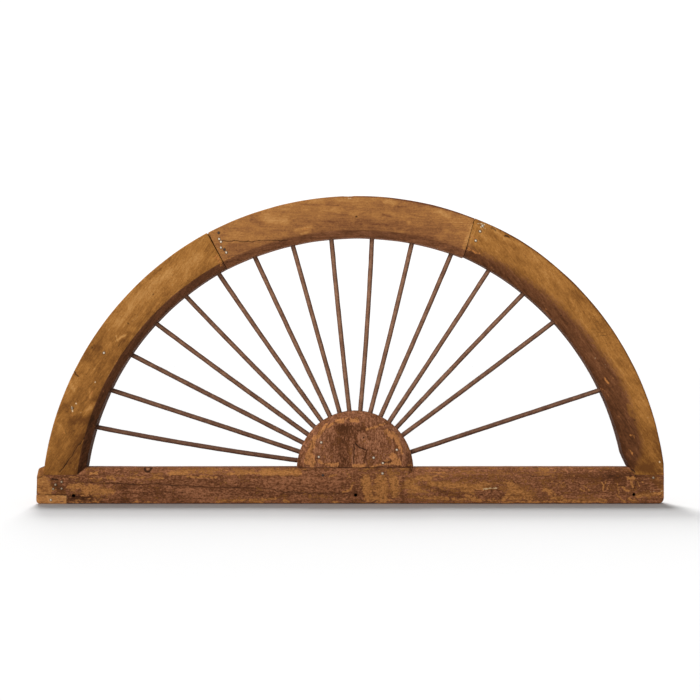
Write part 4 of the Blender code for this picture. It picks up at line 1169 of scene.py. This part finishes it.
def nail_steel(name, tones, metallic, roughness):
    finish = Finish(name)
    here = finish.node("ShaderNodeTexCoord", {}, {}, "Object")
    spots = finish.noise(here, (600, 600, 600), 61, detail=3, rough=0.6)
    # Painted highlight: the head's colour darkens from its crown to its rim
    colour = finish.mix(
        finish.painted("rim") * 0.85, finish.ramp(tones, spots), (0.05, 0.028, 0.018)
    )
    finish.feed(finish.shader, {
        "Base Color": colour, "Normal": finish.bump(0.3, 0.0002, spots), "Metallic": metallic,
        "Roughness": roughness + (spots - 0.5) * 0.4,
    })
    return finish.material


bright = nail_steel("bright_nail", (
    (0.35, (0.40, 0.27, 0.17)), (0.5, (0.80, 0.65, 0.47)), (0.65, (0.95, 0.84, 0.68)),
), metallic=0.35, roughness=0.42)
dull = nail_steel("dull_nail", (
    (0.35, (0.16, 0.10, 0.055)), (0.5, (0.38, 0.26, 0.15)), (0.65, (0.55, 0.42, 0.28)),
), metallic=0.35, roughness=0.5)
dark = nail_steel("dark_nail", (
    (0.35, (0.02, 0.012, 0.009)), (0.5, (0.05, 0.028, 0.018)), (0.7, (0.12, 0.065, 0.04)),
), metallic=0.4, roughness=0.6)
for node, place in NAILS.items():
    steel = dark if node in DARK_NAILS else dull if node.startswith(DULL_NAILS) else bright
    head = make_nail(place.x, place.z)
    add_piece(node.replace("nail_", "nail_head_"), head, steel, "nail_steel", node)


# STAGE
# A plain pale floor under soft studio light. The window and the floor are lit apart, as
# with flags and screens in a studio, so that each has its own soft shade.
scene = bpy.context.scene
stage = bpy.data.collections.new("stage")
scene.collection.children.link(stage)
floor = bmesh.new()
bmesh.ops.create_grid(floor, x_segments=1, y_segments=1, size=30)
floor = bpy.data.objects.new("floor", new_mesh("floor", floor))
stage.objects.link(floor)
pale = Finish("floor_paint")
pale.feed(pale.shader, {
    "Base Color": (0.86, 0.86, 0.86, 1), "Roughness": 0.9, "Specular IOR Level": 0.0,
})
floor.data.materials.append(pale.material)

scene.view_settings.view_transform = "Standard"
scene.world = bpy.data.worlds.new("studio")
scene.world.use_nodes = True
backdrop = scene.world.node_tree.nodes["Background"]
backdrop.inputs["Color"].default_value = (1, 1, 1, 1)
# The backdrop is burnt out to white where it is seen, and softer where it only gives light
seen = scene.world.node_tree.nodes.new("ShaderNodeLightPath")
level = scene.world.node_tree.nodes.new("ShaderNodeMapRange")
level.inputs["To Min"].default_value = 0.33
level.inputs["To Max"].default_value = 1.1
scene.world.node_tree.links.new(seen.outputs["Is Camera Ray"], level.inputs["Value"])
scene.world.node_tree.links.new(level.outputs["Result"], backdrop.inputs["Strength"])


def add_light(name, towards, strength, spread, lit, shades):
    """A broad lamp that lights one collection. Only what is in shades casts its shadow."""
    lamp = bpy.data.lights.new(name, "SUN")
    lamp.energy, lamp.angle = strength, math.radians(spread)
    lamp = bpy.data.objects.new(name, lamp)
    lamp.rotation_euler = Vector(towards).to_track_quat("-Z", "Y").to_euler()
    lamp.light_linking.receiver_collection = lit
    lamp.light_linking.blocker_collection = shades
    scene.collection.objects.link(lamp)


base = bpy.data.collections.new("base")
base.objects.link(bpy.data.objects["sill_rail"])
base.objects.link(bpy.data.objects["patch_block"])
scene.collection.children.link(base)
add_light("front_softbox", (0.60, 0.70, -0.65), strength=2.4, spread=35, lit=window, shades=None)
add_light("top_softbox", (-0.2, -0.35, -0.9), strength=1.2, spread=60, lit=window, shades=None)
add_light("low_wash", (0.12, -0.98, -0.14), strength=8.9, spread=15, lit=stage, shades=base)
add_light("high_wash", (0.12, -0.90, -0.42), strength=3.42, spread=25, lit=stage, shades=base)

eye = bpy.data.cameras.new("camera")
eye.lens, eye.sensor_width = 92.57, 36
camera = bpy.data.objects.new("camera", eye)
camera.location = (-0.0002, -3.53, 0.2991)
camera.rotation_euler = (math.radians(90), 0, 0)
scene.collection.objects.link(camera)
scene.camera = camera
